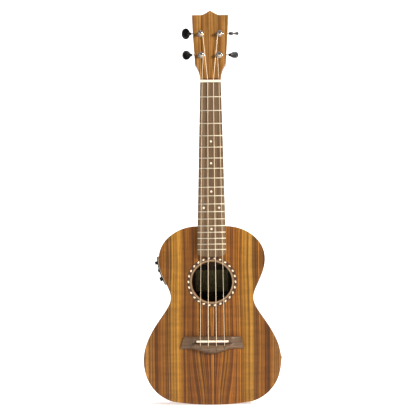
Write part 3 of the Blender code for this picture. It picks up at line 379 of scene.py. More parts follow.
@dataclass(frozen=True)
class Mottled(Finish):
    """A moulded, cast, cut or plated surface: one colour with a fine mottle, wear and texture."""

    colour: str
    second: str
    patch_mm: float = 2.0
    mix: float = 0.5
    metallic: float = 0.0
    roughness: tuple[float, float] = (0.3, 0.4)
    ior: float = 1.5
    coat: float = 0.0
    texture_mm: float = 0.4
    relief_mm: float = 0.01
    stretch: tuple[float, float, float] = (1.0, 1.0, 1.0)
    subsurface: float = 0.0

    def dress(self, tree: Tree, shader: bpy.types.Node) -> None:
        """Draws the mottle, the change of gloss and the fine texture.

        Args:
            tree: the material's node tree.
            shader: its Principled shader.
        """
        place = add_node(tree, "TexCoord").outputs["Object"]
        drawn = wired(tree, "VectorMath", place, self.stretch, operation="MULTIPLY")
        patches, texture = (
            add_node(
                tree, "TexNoise", {"Vector": drawn, "Scale": 1 / (size * MM), "Detail": detail}
            ).outputs[0]
            for size, detail in ((self.patch_mm, 3.0), (self.texture_mm, 2.0))
        )
        share = wired(tree, "MapRange", patches, 0.35, 0.65, 0.0, self.mix)
        feeds = {
            "Base Color": mixed(tree, share, to_linear(self.colour), to_linear(self.second)),
            "Roughness": wired(tree, "MapRange", patches, 0.3, 0.7, *self.roughness),
            "Normal": relief(tree, texture, 0.35, self.relief_mm * MM),
            "Metallic": self.metallic,
            "Coat Weight": self.coat,
        }
        if not self.metallic:
            feeds["IOR"] = self.ior
        if self.subsurface:
            feeds.update({"Subsurface Weight": self.subsurface, "Subsurface Scale": MM})
        feed(tree, shader, feeds)


# Acacia koa, sliced, book-matched and sprayed with satin urethane: golden zones outside the
# middle, brown in the middle and dark streaks in the lower bouts, with open pores.
KOA_PLATE = Timber(
    "koa_bookmatched_satin_urethane",
    "koa",
    Grain.ALONG_NECK,
    zones=(
        (0.0, "99631f"), (0.09, "884f1b"), (0.18, "96601f"), (0.28, "854e18"), (0.37, "8d591c"),
        (0.43, "99661f"), (0.49, "a57429"), (0.56, "a9782e"), (0.61, "996726"), (0.66, "8a571f"),
        (0.73, "824f19"), (0.80, "754617"), (0.85, "946227"), (0.92, "9f6e32"), (1.0, "926027"),
    ),
    streak="44210a",
    streak_share=0.88,
    band_mm=(4.2, 1300.0),
    band_depth=0.6,
    fibre_mm=(2.2, 600.0),
    fibre_depth=0.56,
    curl=0.12,
    bookmatched=True,
    coat=0.04,
)
# The same koa bent round the rim, so its lines run round the body.
KOA_RIM = Timber(
    "koa_bent_satin_urethane", "koa", Grain.ROUND_RIM,
    zones=((0.0, "6d4118"), (0.35, "875420"), (0.65, "9f6c2c"), (1.0, "7c4c1d")), streak="43240d",
    streak_share=0.6, band_mm=(4.0, 300.0), zone_mm=18.0, curl=0.05, wander_mm=3.0, seed=3.0,
)
# A warmer, straighter leaf of koa on the headstock, with orange and golden lines.
KOA_VENEER = Timber(
    "koa_veneer_satin_urethane", "koa", Grain.ALONG_NECK,
    zones=((0.0, "7e4c1a"), (0.3, "a1743a"), (0.55, "8b5c25"), (0.8, "a87e46"), (1.0, "724619")),
    streak="512e0d", streak_share=0.6, band_mm=(3.4, 1600.0), band_depth=0.5, fibre_mm=(2.0, 900.0),
    fibre_depth=0.36, zone_mm=9.0, curl=0.05, thin_leaf=True, wander_mm=1.2, seed=9.0,
)
# Mahogany, carved, pore-filled and sprayed satin: even red-brown with short dark pores.
MAHOGANY_NECK = Timber(
    "mahogany_carved_satin", "neck_mahogany", Grain.ALONG_NECK,
    zones=((0.0, "6e3f22"), (0.5, "81502c"), (1.0, "8d5a34")), streak="4a2713", streak_share=0.3,
    band_mm=(6.0, 300.0), band_depth=0.16, pore_mm=(0.4, 5.0), coat=0.18, seed=14.0,
)
# Mahogany left raw inside the body: matt, paler and fibrous in itself, but its colours here are
# darkened with painted shade, for the shade inside the body.
MAHOGANY_RAW_SHADED = Timber(
    "mahogany_sawn_raw_painted_shade", "mahogany", Grain.ALONG_NECK, zones=((0.0, "3a281f"), (1.0, "503829")),
    streak_share=0.2, band_depth=0.15, roughness=(0.7, 0.85), coat=0.0, relief_mm=0.08, seed=17.0,
)
# Painted shade: a very dark brown sheet of raw ply laid inside the back, standing for the shade
# inside the body, so that it hardly returns light.
PAINTED_SHADE_PLY = Timber(
    "painted_shade_dark_sheet", "mahogany", Grain.ALONG_NECK, zones=((0.0, "1d1916"), (1.0, "2a221d")),
    streak="15100d", streak_share=0.3, roughness=(0.7, 0.85), coat=0.0, relief_mm=0.03, seed=18.0,
)
# Spruce braces, quartersawn and left raw, with fine straight year rings: pale wood in itself, but
# its colours here are darkened with painted shade, for the shade inside the body.
SPRUCE_BRACE_SHADED = Timber(
    "spruce_quartersawn_raw_painted_shade", "spruce", Grain.ACROSS_BODY, zones=((0.0, "4d3b28"), (1.0, "624c34")),
    streak="3d2c1b", streak_share=0.5, band_mm=(1.1, 400.0), band_depth=0.12, pore_share=0.1,
    roughness=(0.65, 0.8), coat=0.0, seed=19.0,
)
# Walnut fingerboard, planed and oiled: grey-brown, matt, with long fine pores.
WALNUT_BOARD = Timber(
    "walnut_planed_oiled", "walnut", Grain.ALONG_NECK,
    zones=((0.0, "5c4833"), (0.5, "705a43"), (1.0, "80694f")), streak="493727", streak_share=0.5,
    band_mm=(2.4, 180.0), band_depth=0.18, zone_mm=12.0, pore_mm=(0.4, 9.0), pore_share=0.5,
    roughness=(0.5, 0.64), coat=0.0, wander_mm=2.0, seed=23.0,
)
# The same walnut carved into the bridge, with its grain across the body.
WALNUT_BRIDGE = Timber(
    "walnut_carved_oiled", "walnut", Grain.ACROSS_BODY,
    zones=((0.0, "4c3520"), (0.5, "5f462e"), (1.0, "71563b")), streak="3d2b1a", streak_share=0.45,
    band_mm=(1.7, 120.0), band_depth=0.2, zone_mm=9.0, pore_mm=(0.4, 8.0), pore_share=0.45,
    roughness=(0.44, 0.54), coat=0.0, specular=0.55, wander_mm=1.5, seed=27.0,
)
# Synthetic bone, sawn and polished: warm white with faint clouds and a soft glow.
BONE = Mottled(
    "bone_synthetic_polished", "bone", "f3ead6", "e6d9bd", patch_mm=3.0, roughness=(0.22, 0.32),
    ior=1.54, coat=0.2, subsurface=0.25,
)
# Nickel silver, drawn into fret wire, crowned and polished: warm white metal with fine lines.
NICKEL_SILVER = Mottled(
    "nickel_silver_drawn_polished", "fret_wire", "d8cfba", "c3b9a4", patch_mm=1.2, metallic=1.0,
    roughness=(0.46, 0.56), stretch=(0.15, 1.0, 1.0),
)
# Clear nylon line, extruded: pale, glossy and slightly milky.
NYLON = Mottled(
    "nylon_clear_extruded", "nylon", "f0dcc0", "e2cba9", patch_mm=6.0, roughness=(0.16, 0.24),
    ior=1.53, coat=0.4, relief_mm=0.003,
)
# Chrome plate over polished die-cast zinc: mirror bright, with faint waviness.
CHROME = Mottled(
    "chrome_plated_polished", "chrome", "dcdde0", "cfd1d5", patch_mm=3.0, metallic=1.0,
    roughness=(0.06, 0.14), texture_mm=1.8, relief_mm=0.012,
)
# Nickel plate on the turned brass jack: a little warmer and duller than chrome.
NICKEL = Mottled(
    "nickel_plated_turned", "nickel", "cfc9bd", "b9b2a4", patch_mm=2.0, metallic=1.0,
    roughness=(0.18, 0.3), stretch=(1.0, 0.3, 1.0),
)
# ABS tuner buttons, injection moulded and polished: deep black with a clean gloss.
BLACK_GLOSS = Mottled(
    "abs_moulded_polished", "button_plastic", "0a0a0a", "121213", patch_mm=4.0,
    roughness=(0.26, 0.36), coat=0.1, texture_mm=1.2,
)
# ABS panel, moulded against a spark-eroded tool: black with a fine matt grain.
BLACK_MATT = Mottled(
    "abs_moulded_spark_textured", "panel_plastic", "17171a", "222225", patch_mm=1.5,
    roughness=(0.45, 0.6), ior=1.54, texture_mm=0.35, relief_mm=0.05,
)
# The same ABS on the knobs, polished by fingers on its edges.
BLACK_KNOB = Mottled(
    "abs_moulded_knob_satin", "knob_plastic", "141416", "252527", patch_mm=1.2,
    roughness=(0.3, 0.48), ior=1.54, texture_mm=0.4, relief_mm=0.03,
)
# Ivory ABS gasket between the panel and the side: cream, satin.
IVORY_GASKET = Mottled(
    "abs_ivory_moulded_satin", "panel_plastic", "e3cfae", "d3bb95", patch_mm=3.0,
    roughness=(0.4, 0.5), ior=1.54, subsurface=0.1,
)
# White paint wiped into the knob's engraved pointer.
POINTER_PAINT = Mottled(
    "enamel_wiped_white", "knob_plastic", "efeeea", "dddbd4", patch_mm=0.8, roughness=(0.4, 0.55),
)
# Mother-of-pearl dots, ground flush: white with soft pink and green clouds.
PEARL = Mottled(
    "mother_of_pearl_ground_flush", "bone", "f6e8d2", "e2dccb", patch_mm=1.4,
    roughness=(0.14, 0.24), ior=1.6, coat=0.5, subsurface=0.15,
)
# Celluloid rope inlay: cream pieces, polished with the top.
INLAY_CREAM = Mottled(
    "celluloid_cream_inlaid", "bone", "fbe3c2", "e8c89c", patch_mm=1.5, roughness=(0.25, 0.35),
    coat=0.3,
)
# The rope's dark pieces and its two border lines, in black-brown celluloid.
INLAY_DARK = Mottled(
    "celluloid_black_brown_inlaid", "walnut", "1e120b", "34200f", patch_mm=1.5,
    roughness=(0.25, 0.38), coat=0.3,
)
# The rope's ground and the ring at the hole: dyed maple veneer, sanded flush.
INLAY_TAN = Mottled(
    "maple_dyed_tan_sanded", "maple", "8f7559", "755d44", patch_mm=1.1, mix=0.7,
    roughness=(0.4, 0.5), coat=0.1, stretch=(1.0, 1.0, 0.25),
)
INLAY_GROUND = Mottled(
    "maple_dyed_umber_sanded", "maple", "5b3a20", "432916", patch_mm=1.0, roughness=(0.4, 0.5),
    coat=0.1,
)
# Laid paper, left plain: warm and fibrous, its colours darkened with painted shade, for the shade
# inside the body.
LABEL_PAPER_SHADED = Mottled(
    "paper_laid_plain_painted_shade", "maple", "6f6744", "5b5435", patch_mm=5.0, mix=0.8, roughness=(0.8, 0.92),
    texture_mm=0.5, relief_mm=0.03,
)


# ================================================================ mesh tools
def circle(radius: float, height: float, count: int, phase: float = 0.0) -> Ring:
    """Gives the points of a circle round the local Z axis.

    Args:
        radius: its radius.
        height: its place on the axis.
        count: how many points it has.
        phase: how far the first point is turned, in steps.

    Returns:
        The points.
    """
    turns = [2 * math.pi * (i + phase) / count for i in range(count)]
    return [Vector((radius * math.cos(a), radius * math.sin(a), height)) for a in turns]


def squared_oval(half: tuple[float, float], height: float, count: int, power: float) -> Ring:
    """Gives the points of an oval round the local Z axis, with fuller corners than an ellipse.

    Args:
        half: its half widths along X and Y.
        height: its place on the axis.
        count: how many points it has.
        power: how full it is: 1 for an ellipse, and less towards a rectangle.

    Returns:
        The points.
    """
    ring = []
    for point in circle(1.0, height, count):
        x, y = (math.copysign(abs(v) ** power, v) * h for v, h in zip(point.xy, half))
        ring.append(Vector((x, y, height)))
    return ring


def turn(axis: str, degrees: float) -> Matrix:
    """A rotation about an axis."""
    return Matrix.Rotation(math.radians(degrees), 4, axis)


def loft(rings: Sequence[Ring], endless: bool = False) -> Mesh:
    """Skins a run of rings.

    Args:
        rings: rings of the same number of points.
        endless: whether the last ring joins the first, instead of a cap at each end.

    Returns:
        The closed mesh.
    """
    bm = bmesh.new()
    loops = [[bm.verts.new(point) for point in ring] for ring in rings]
    pairs = list(zip(loops, loops[1:]))
    if endless:
        pairs.append((loops[-1], loops[0]))
    else:
        bm.faces.new(loops[0])
        bm.faces.new(loops[-1])
    for lower, upper in pairs:
        for i in range(len(lower)):
            j = (i + 1) % len(lower)
            bm.faces.new((lower[i], lower[j], upper[j], upper[i]))
    bmesh.ops.recalc_face_normals(bm, faces=bm.faces)
    return bm


def turned(
    profile: Sequence[tuple[float, float]], count: int = 40, hollow: bool = False
) -> Mesh:
    """Turns a profile round the local Z axis.

    Args:
        profile: (radius, height) pairs, which form a closed loop when hollow.
        count: how many points go round.
        hollow: whether the piece is a ring with an open middle.

    Returns:
        The closed mesh.
    """
    if not hollow:
        return loft([circle(r, h, count) for r, h in profile])
    rings = []
    for i in range(count):
        angle = 2 * math.pi * i / count
        rings.append([Vector((r * math.cos(angle), r * math.sin(angle), h)) for r, h in profile])
    return loft(rings, endless=True)


def swept(path: Sequence[Vector], radius: float, sides: int = 10) -> Mesh:
    """Sweeps a round section along a path without twisting it.

    Args:
        path: the centre line.
        radius: the section's radius.
        sides: how many points the section has.

    Returns:
        The closed mesh.
    """
    rings = []
    side = (path[1] - path[0]).orthogonal().normalized()
    for i, point in enumerate(path):
        ahead = path[min(i + 1, len(path) - 1)]
        behind = path[max(i - 1, 0)]
        run = (ahead - behind).normalized()
        side = (side - run * side.dot(run)).normalized()
        other = run.cross(side)
        ring = circle(radius, 0, sides)
        rings.append([point + side * p.x + other * p.y for p in ring])
    return loft(rings)


def block(low: Sequence[float], high: Sequence[float]) -> Mesh:
    """Makes a box between two corners.

    Args:
        low: its lowest corner.
        high: its highest corner.

    Returns:
        The closed mesh.
    """
    (x0, y0, z0), (x1, y1, z1) = low, high
    base = [Vector((x, y, z0)) for x, y in ((x0, y0), (x1, y0), (x1, y1), (x0, y1))]
    return loft([base, [p + Vector((0, 0, z1 - z0)) for p in base]])


def merged(parts: Sequence[Mesh]) -> Mesh:
    """Puts several separate meshes in one.

    Args:
        parts: the meshes, which are used up.

    Returns:
        One mesh with all of them.
    """
    whole = bmesh.new()
    for part in parts:
        step = bpy.data.meshes.new("part")
        part.to_mesh(step)
        part.free()
        whole.from_mesh(step)
        bpy.data.meshes.remove(step)
    return whole


def moved(bm: Mesh, matrix: Matrix) -> Mesh:
    """Moves a mesh.

    Args:
        bm: the mesh, which is changed.
        matrix: where it goes.

    Returns:
        The same mesh.
    """
    bm.transform(matrix)
    bmesh.ops.recalc_face_normals(bm, faces=bm.faces)
    return bm


def carved(
    bm: Mesh, tool: Mesh, operation: str = "DIFFERENCE"
) -> Mesh:
    """Cuts, joins or crosses two meshes.

    Args:
        bm: the workpiece, which is used up.
        tool: the other mesh, which is used up.
        operation: the Boolean's name.

    Returns:
        The result.
    """
    operands = []
    for name, source in (("workpiece", bm), ("tool", tool)):
        mesh = bpy.data.meshes.new(name)
        source.to_mesh(mesh)
        source.free()
        obj = bpy.data.objects.new(name, mesh)
        bpy.context.scene.collection.objects.link(obj)
        operands.append(obj)
    modifier = operands[0].modifiers.new("carve", "BOOLEAN")
    modifier.operation = operation
    modifier.object = operands[1]
    modifier.solver = "EXACT"
    graph = bpy.context.evaluated_depsgraph_get()
    shaped = bpy.data.meshes.new_from_object(operands[0].evaluated_get(graph))
    result = bmesh.new()
    result.from_mesh(shaped)
    bpy.data.meshes.remove(shaped)
    for obj in operands:
        mesh = obj.data
        bpy.data.objects.remove(obj)
        bpy.data.meshes.remove(mesh)
    return result


def make_piece(
    name: str,
    bm: Mesh,
    finish: Finish,
    body: str = INSTRUMENT,
    replaces: Sequence[str] = (),
    edge: float = 0.0,
    crease: float = 38.0,
    segments: int = 3,
) -> bpy.types.Object:
    """Turns a mesh into a dressed piece that rides on its body.

    Args:
        name: the piece's name.
        bm: its mesh, which is used up.
        finish: its finish.
        body: the body it moves with.
        replaces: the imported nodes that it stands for.
        edge: how far sharp edges are rounded.
        crease: the angle in degrees above which an edge is sharp.
        segments: how many steps the rounding has.

    Returns:
        The new object.
    """
    mesh = bpy.data.meshes.new(name)
    bm.to_mesh(mesh)
    bm.free()
    mesh.shade_smooth()
    mesh.set_sharp_from_angle(angle=math.radians(crease))
    obj = bpy.data.objects.new(name, mesh)
    bpy.context.scene.collection.objects.link(obj)
    if edge:
        rounding = obj.modifiers.new("rounding", "BEVEL")
        rounding.width = edge
        rounding.segments = segments
        rounding.limit_method = "ANGLE"
        rounding.angle_limit = math.radians(crease)
        rounding.harden_normals = True
    mesh.materials.append(finish.material())
    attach(obj, body)
    if replaces:
        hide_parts(*replaces)
    log.info("%s: %s on %s", name, finish.name, body)
    return obj


def dress_node(name: str, finish: Finish) -> None:
    """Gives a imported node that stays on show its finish.

    Args:
        name: the node.
        finish: its finish.
    """
    obj = frame["nodes"][name]
    obj.data.materials.clear()
    obj.data.materials.append(finish.material())
    log.info("%s: packed node, %s", name, finish.name)


# ================================================================ places from the frame
@dataclass(frozen=True)
class Layout:
    """The instrument's main places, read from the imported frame."""

    face_y: float
    nut_z: float
    nut_t: float
    body_top: float
    saddle_z: float
    fingerboard_top: float
    tongue_z: float
    half_at_nut: float
    tilt: float
    outline: tuple[Vector, ...]

    FINER = 4

    @classmethod
    def read(cls) -> "Layout":
        """Reads the places from the frame's boxes and joints.

        Returns:
            The layout.
        """
        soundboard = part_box("soundboard")
        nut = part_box("nut")
        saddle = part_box("saddle")
        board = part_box("fingerboard")
        post = next(j for j in frame["joints"] if j["child"] == "g_post")
        return cls(
            face_y=soundboard[0].y, nut_z=nut[0].z, nut_t=nut[1].z - nut[0].z,
            body_top=soundboard[1].z, saddle_z=(saddle[0].z + saddle[1].z) / 2,
            fingerboard_top=soundboard[0].y - board[0].y, tongue_z=board[0].z, half_at_nut=nut[1].x,
            tilt=math.asin(post["axis"][2]), outline=tuple(cls.smooth_outline()),
        )

    @classmethod
    def smooth_outline(cls) -> Outline:
        """Reads the body's right half from the back plate and rounds it between its corners.

        Returns:
            (x, z) points from the tail to the heel seat.
        """
        plate = frame["nodes"]["back_plate"].data
        corners = [(v.co.x, v.co.z) for v in plate.vertices if v.co.x > -0.01 * MM]
        corners.sort(key=lambda p: (round(p[1], 5), -p[0]))
        rim: Outline = []
        for x, z in corners:
            point = Vector((max(x, 0.0), z))
            if not rim or (point - rim[-1]).length > 0.2 * MM:
                rim.append(point)
        rim = [p for i, p in enumerate(rim) if p.x > MM or i == 0]
        fine: Outline = []
        for i in range(len(rim) - 1):
            before = rim[i - 1] if i else Vector((-rim[1].x, rim[1].y))
            start, end = rim[i], rim[i + 1]
            after = rim[i + 2] if i + 2 < len(rim) else end + (end - start)
            for k in range(cls.FINER):
                t = k / cls.FINER
                fine.append(
                    0.5
                    * (
                        2 * start
                        + (end - before) * t
                        + (2 * before - 5 * start + 4 * end - after) * t * t
                        + (3 * start - before - 3 * end + after) * t**3
                    )
                )
        fine.append(rim[-1])
        return fine

    def normals(self) -> list[Vector]:
        """Gives the outline's outward normals.

        Returns:
            One unit normal for each outline point.
        """
        points = self.outline
        found = []
        for i in range(len(points)):
            before = points[i - 1] if i else Vector((-points[1].x, points[1].y))
            after = points[min(i + 1, len(points) - 1)]
            run = (after - before).normalized()
            found.append(Vector((run.y, -run.x)))
        return found

    def inset(self, amount: float) -> Outline:
        """The half outline moved inwards."""
        return [p - n * amount for p, n in zip(self.outline, self.normals())]

    def ring(self, amount: float = 0.0) -> Outline:
        """The whole outline moved inwards, as one closed loop."""
        half = self.inset(amount)
        half[0] = Vector((0.0, half[0].y))
        return half + [Vector((-p.x, p.y)) for p in reversed(half[1:])]

    def edge_at(self, z: float) -> tuple[float, Vector]:
        """Gives the body's half width at a height, and its outward normal there.

        Args:
            z: the height.

        Returns:
            The half width, and the normal as (x, z).
        """
        normals = self.normals()
        for i in range(len(self.outline) - 1):
            low, high = self.outline[i], self.outline[i + 1]
            if low.y <= z <= high.y and high.y > low.y:
                share = (z - low.y) / (high.y - low.y)
                normal = normals[i].lerp(normals[i + 1], share).normalized()
                return low.x + share * (high.x - low.x), normal
        return self.outline[-1].x, Vector((0.0, 1.0))

    def front_y(self, height: float) -> float:
        """The world Y of a height in front of the soundboard."""
        return self.face_y - height

    def back_y(self, z: float) -> float:
        """The world Y of the back plate's outer face."""
        low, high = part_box("back_plate")
        heel_side = low.y + BodyShell.plate_t
        return high.y + z / self.body_top * (heel_side - high.y)

    def board_half(self, z: float) -> float:
        """Half the fingerboard's width at a height up the neck."""
        share = (z - self.body_top) / (self.nut_z - self.body_top)
        return Neck.half_at_body + share * (self.half_at_nut - Neck.half_at_body)

    def head(self) -> Matrix:
        """The headstock's frame: local Y points into its face, and local Z along it."""
        place = Matrix.Translation((0, self.face_y, self.nut_z + self.nut_t + GAP))
        return place @ Matrix.Rotation(-self.tilt, 4, "X")

    def string_x(self, order: float, z: float) -> float:
        """A string's distance from the centre line at a height."""
        share = (z - self.saddle_z) / (self.nut_z - self.saddle_z)
        spacing = Strings.at_saddle + share * (Strings.at_nut - Strings.at_saddle)
        return order * spacing


# ================================================================ body
@dataclass
class BodyShell:
    """The koa plates and bent sides, with softly rounded edges."""

    layout: Layout
    plate_t: float = 2.2 * MM
    side_t: float = 2.1 * MM
    rounding: float = 0.9 * MM
    hole_radius: float = 33.5 * MM
    hole_z: float = 205.8 * MM
    seam: float = 0.05 * MM
    jack_radius: float = 5.0 * MM

    def build(self) -> None:
        """Makes the plates and the sides."""
        lay = self.layout
        ring = lay.ring()
        front = [Vector((p.x, lay.face_y, p.y)) for p in ring]
        behind = [Vector((p.x, lay.face_y + self.plate_t, p.y)) for p in ring]
        hole = turned([(self.hole_radius, -CUT), (self.hole_radius, CUT)], count=96)
        place = Matrix.Translation((0, lay.face_y, self.hole_z)) @ turn("X", 90)
        top = carved(loft([front, behind]), moved(hole, place))
        make_piece(
            "soundboard_plate", top, KOA_PLATE, replaces=["soundboard"], edge=self.rounding
        )
        outer = [Vector((p.x, lay.back_y(p.y), p.y)) for p in ring]
        inner = [Vector((p.x, lay.back_y(p.y) - self.plate_t, p.y)) for p in ring]
        back = loft([inner, outer])
        make_piece("back_leaf", back, KOA_PLATE, replaces=["back_plate"], edge=self.rounding)
        self.bend_side("rim_bass", -1, "side_bass")
        self.bend_side("rim_treble", 1, "side_treble")

    def bend_side(self, name: str, sign: int, node: str) -> None:
        """Makes one bent side, with the opening that its electronics need.

        Args:
            name: the piece's name.
            sign: -1 for the bass side and 1 for the treble side.
            node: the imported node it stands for.
        """
        lay = self.layout
        rings = []
        outline = list(lay.outline) + [Vector((0.0, lay.body_top))]
        inset = lay.inset(self.side_t) + [Vector((0.0, lay.body_top - self.side_t))]
        for outside, inside in zip(outline, inset):
            ring = []
            for point, at_back in zip(
                (outside, outside, inside, inside), (False, True, True, False)
            ):
                y = lay.face_y + self.plate_t + self.seam
                if at_back:
                    y = lay.back_y(point.y) - self.plate_t - self.seam
                ring.append(Vector((sign * max(point.x, GAP / 2), y, point.y)))
            rings.append(ring)
        side = loft(rings)
        if sign < 0:
            side = carved(side, Preamp(lay).opening())
        else:
            jack = turned([(self.jack_radius, -CUT), (self.jack_radius, CUT)])
            side = carved(side, moved(jack, OutputJack(lay).place()))
        make_piece(name, side, KOA_RIM, replaces=[node], crease=30.0)


@dataclass
class Rosette:
    """The rope inlay round the sound hole."""

    layout: Layout
    shell: BodyShell
    band_to: float = 37.2 * MM
    rope_to: float = 42.0 * MM
    line: float = 0.55 * MM
    proud: float = 0.06 * MM
    beads: int = 26
    cream_length: float = 3.9 * MM
    dark_length: float = 3.6 * MM
    bead_width: float = 2.5 * MM
    lean: float = math.radians(24)

    def build(self) -> None:
        """Makes the tan ring, the ground, the border lines and the rope's pieces."""
        hole = self.shell.hole_radius
        rings = (
            ("rosette_tan_ring", hole + 0.5 * MM, self.band_to - self.line, INLAY_TAN, 1.0),
            ("rosette_inner_line", self.band_to - self.line, self.band_to, INLAY_DARK, 1.2),
            ("rosette_ground", self.band_to, self.rope_to - self.line, INLAY_GROUND, 1.0),
            ("rosette_outer_line", self.rope_to - self.line, self.rope_to, INLAY_DARK, 1.2),
        )
        for name, inner, outer, finish, lift in rings:
            height = self.proud * lift
            profile = [(inner, -0.2 * MM), (outer, -0.2 * MM), (outer, height), (inner, height)]
            make_piece(name, self.laid(turned(profile, 120, hollow=True)), finish)
        step = 2 * math.pi / self.beads
        middle = (self.band_to + self.rope_to - self.line) / 2
        for name, finish, length, phase in (
            ("rosette_cream_pieces", INLAY_CREAM, self.cream_length, 0.0),
            ("rosette_dark_pieces", INLAY_DARK, self.dark_length, 0.5),
        ):
            pieces = []
            for i in range(self.beads):
                angle = step * (i + phase)
                spot = Matrix.Rotation(angle, 4, "Z") @ Matrix.Translation((middle, 0, 0))
                pieces.append(moved(self.bead(length), spot @ Matrix.Rotation(self.lean, 4, "Z")))
            make_piece(name, self.laid(merged(pieces)), finish)

    def bead(self, length: float) -> Mesh:
        """Makes one leaf-shaped piece of the rope, with a low crown.

        Args:
            length: its length along the rope.

        Returns:
            The closed mesh, lying round its own middle.
        """
        rings = []
        for share, height in ((1.0, -0.1), (1.0, 0.1), (0.75, 0.2), (0.3, 0.24)):
            half = (share * self.bead_width / 2, share * length / 2)
            rings.append(squared_oval(half, height * MM, 14, 0.8))
        return loft(rings)

    def laid(self, bm: Mesh) -> Mesh:
        """Lays a mesh made round the Z axis on the soundboard, round the hole."""
        place = Matrix.Translation((0, self.layout.face_y, self.shell.hole_z))
        return moved(bm, place @ turn("X", 90))


@dataclass
class Inside:
    """What shows through the sound hole: the plain label, the braces, linings and blocks, in
    colours darkened with painted shade, and a dark sheet of painted shade on the back.
    """

    layout: Layout
    label_half: float = 27.5 * MM
    label_z: tuple[float, float] = (187 * MM, 224 * MM)
    strip_half: float = 8.6 * MM
    strip_rise: float = 2.7 * MM
    paper_t: float = 0.15 * MM

    def build(self) -> None:
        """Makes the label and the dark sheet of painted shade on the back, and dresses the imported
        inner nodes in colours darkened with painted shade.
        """
        lay = self.layout
        half = [
            (self.strip_half, self.strip_rise), (self.strip_half + 1.5 * MM, 0.1 * MM),
            (self.label_half, 0.0),
        ]
        section = [(-x, rise) for x, rise in reversed(half)] + [(0.0, self.strip_rise)] + half
        rings = []
        for z in self.label_z:
            inner = lay.back_y(z) - BodyShell.plate_t - 0.2 * MM
            ring = [Vector((x, inner - rise, z)) for x, rise in section]
            ring += [Vector((x, inner - rise - self.paper_t, z)) for x, rise in reversed(section)]
            rings.append(ring)
        # The label's paper colour carries painted shade.
        make_piece("paper_label", loft(rings), LABEL_PAPER_SHADED, crease=60.0)
        # A very dark sheet on the inside of the back: painted shade for the dark inside of the
        # body.
        shade_sheet = []
        for depth in (0.02 * MM, 0.12 * MM):
            inset = lay.ring(BodyShell.side_t + 4 * MM)
            step = BodyShell.plate_t + depth
            shade_sheet.append([Vector((p.x, lay.back_y(p.y) - step, p.y)) for p in inset])
        make_piece("back_painted_shade_sheet", loft(shade_sheet), PAINTED_SHADE_PLY)
        # The blocks, linings and bridge plate are dressed in mahogany darkened with painted shade.
        for name in ("neck_block", "tail_block", "lining_front", "lining_back", "bridge_plate"):
            dress_node(name, MAHOGANY_RAW_SHADED)
        # The braces are dressed in spruce darkened with painted shade.
        for name in ("soundboard_bracing", "back_bracing"):
            dress_node(name, SPRUCE_BRACE_SHADED)


# ================================================================ neck and headstock
@dataclass
class Headstock:
    """The flared headstock's outline, which the neck and the veneer share."""

    layout: Layout
    throat: tuple[float, float] = (17.5 * MM, 7.0 * MM)
    ear: tuple[float, float] = (26.0 * MM, 28.2 * MM)
    crown: tuple[float, float] = (30.6 * MM, 113.2 * MM)
    crest_half: float = 16.0 * MM
    crest_s: float = 121.4 * MM
    thickness: float = 13.0 * MM
    veneer_t: float = 1.8 * MM
    bore: float = 4.1 * MM

    def outline(self) -> Outline:
        """Draws the face outline.

        Returns:
            (x, s) points, s being the distance up the headstock.
        """
        throat, ear, crown = (Vector(p) for p in (self.throat, self.ear, self.crown))
        crest_foot = Vector((self.crest_half, crown.y))
        crest = Vector((0, self.crest_s))
        rise = self.crest_s - crown.y
        half = [Vector((throat.x, 0)), throat]
        leaving, arriving = Vector((1.5 * MM, 8 * MM)), Vector((4.5 * MM, 5.5 * MM))
        half += bezier(throat, throat + leaving, ear - arriving, ear, 12)
        leaving, arriving = Vector((1.2 * MM, 28 * MM)), Vector((0.6 * MM, 30 * MM))
        half += bezier(ear, ear + leaving, crown - arriving, crown, 12)
        half.append(crest_foot)
        shoulder = Vector((0.72 * self.crest_half, crown.y + 0.04 * rise))
        brow = Vector((0.42 * self.crest_half, crown.y + 0.45 * rise))
        half += bezier(crest_foot, shoulder, brow, crest, 14)
        return half + [Vector((-p.x, p.y)) for p in reversed(half[:-1])]

    def slab(self, depth_from: float, depth_to: float, start: float) -> Mesh:
        """Makes a slab with the face outline.

        Args:
            depth_from: its front, as a depth behind the face.
            depth_to: its back.
            start: the distance up the headstock where it starts.

        Returns:
            The closed mesh, in place.
        """
        head = self.layout.head()
        rings = []
        for depth in (depth_from, depth_to):
            rings.append([head @ Vector((p.x, depth, max(p.y, start))) for p in self.outline()])
        return loft(rings)

    def post_bores(self) -> Mesh:
        """Makes the cutter for the four post holes."""
        head = self.layout.head()
        cutters = []
        for tuner in Tuners.all_tuners():
            ring = circle(self.bore, 0, 40)
            rings = []
            for depth in (-20 * MM, 30 * MM):
                rings.append([head @ Vector((tuner.x + p.x, depth, tuner.s + p.y)) for p in ring])
            cutters.append(loft(rings))
        return merged(cutters)

    def build(self) -> None:
        """Makes the veneer on the face."""
        veneer = self.slab(-GAP - self.veneer_t, -0.05 * MM, 2 * MM)
        veneer = carved(veneer, self.post_bores())
        make_piece(
            "headstock_face", veneer, KOA_VENEER, replaces=["headstock_veneer"], edge=0.5 * MM
        )


def bezier(p0: Vector, p1: Vector, p2: Vector, p3: Vector, count: int) -> list[Vector]:
    """Draws a cubic Bezier arc.

    Args:
        p0: its start.
        p1: its first handle.
        p2: its second handle.
        p3: its end.
        count: how many points it gives.

    Returns:
        The points, without the first.
    """
    points = []
    for i in range(1, count + 1):
        t = i / count
        u = 1 - t
        points.append(u**3 * p0 + 3 * u * u * t * p1 + 3 * u * t * t * p2 + t**3 * p3)
    return points


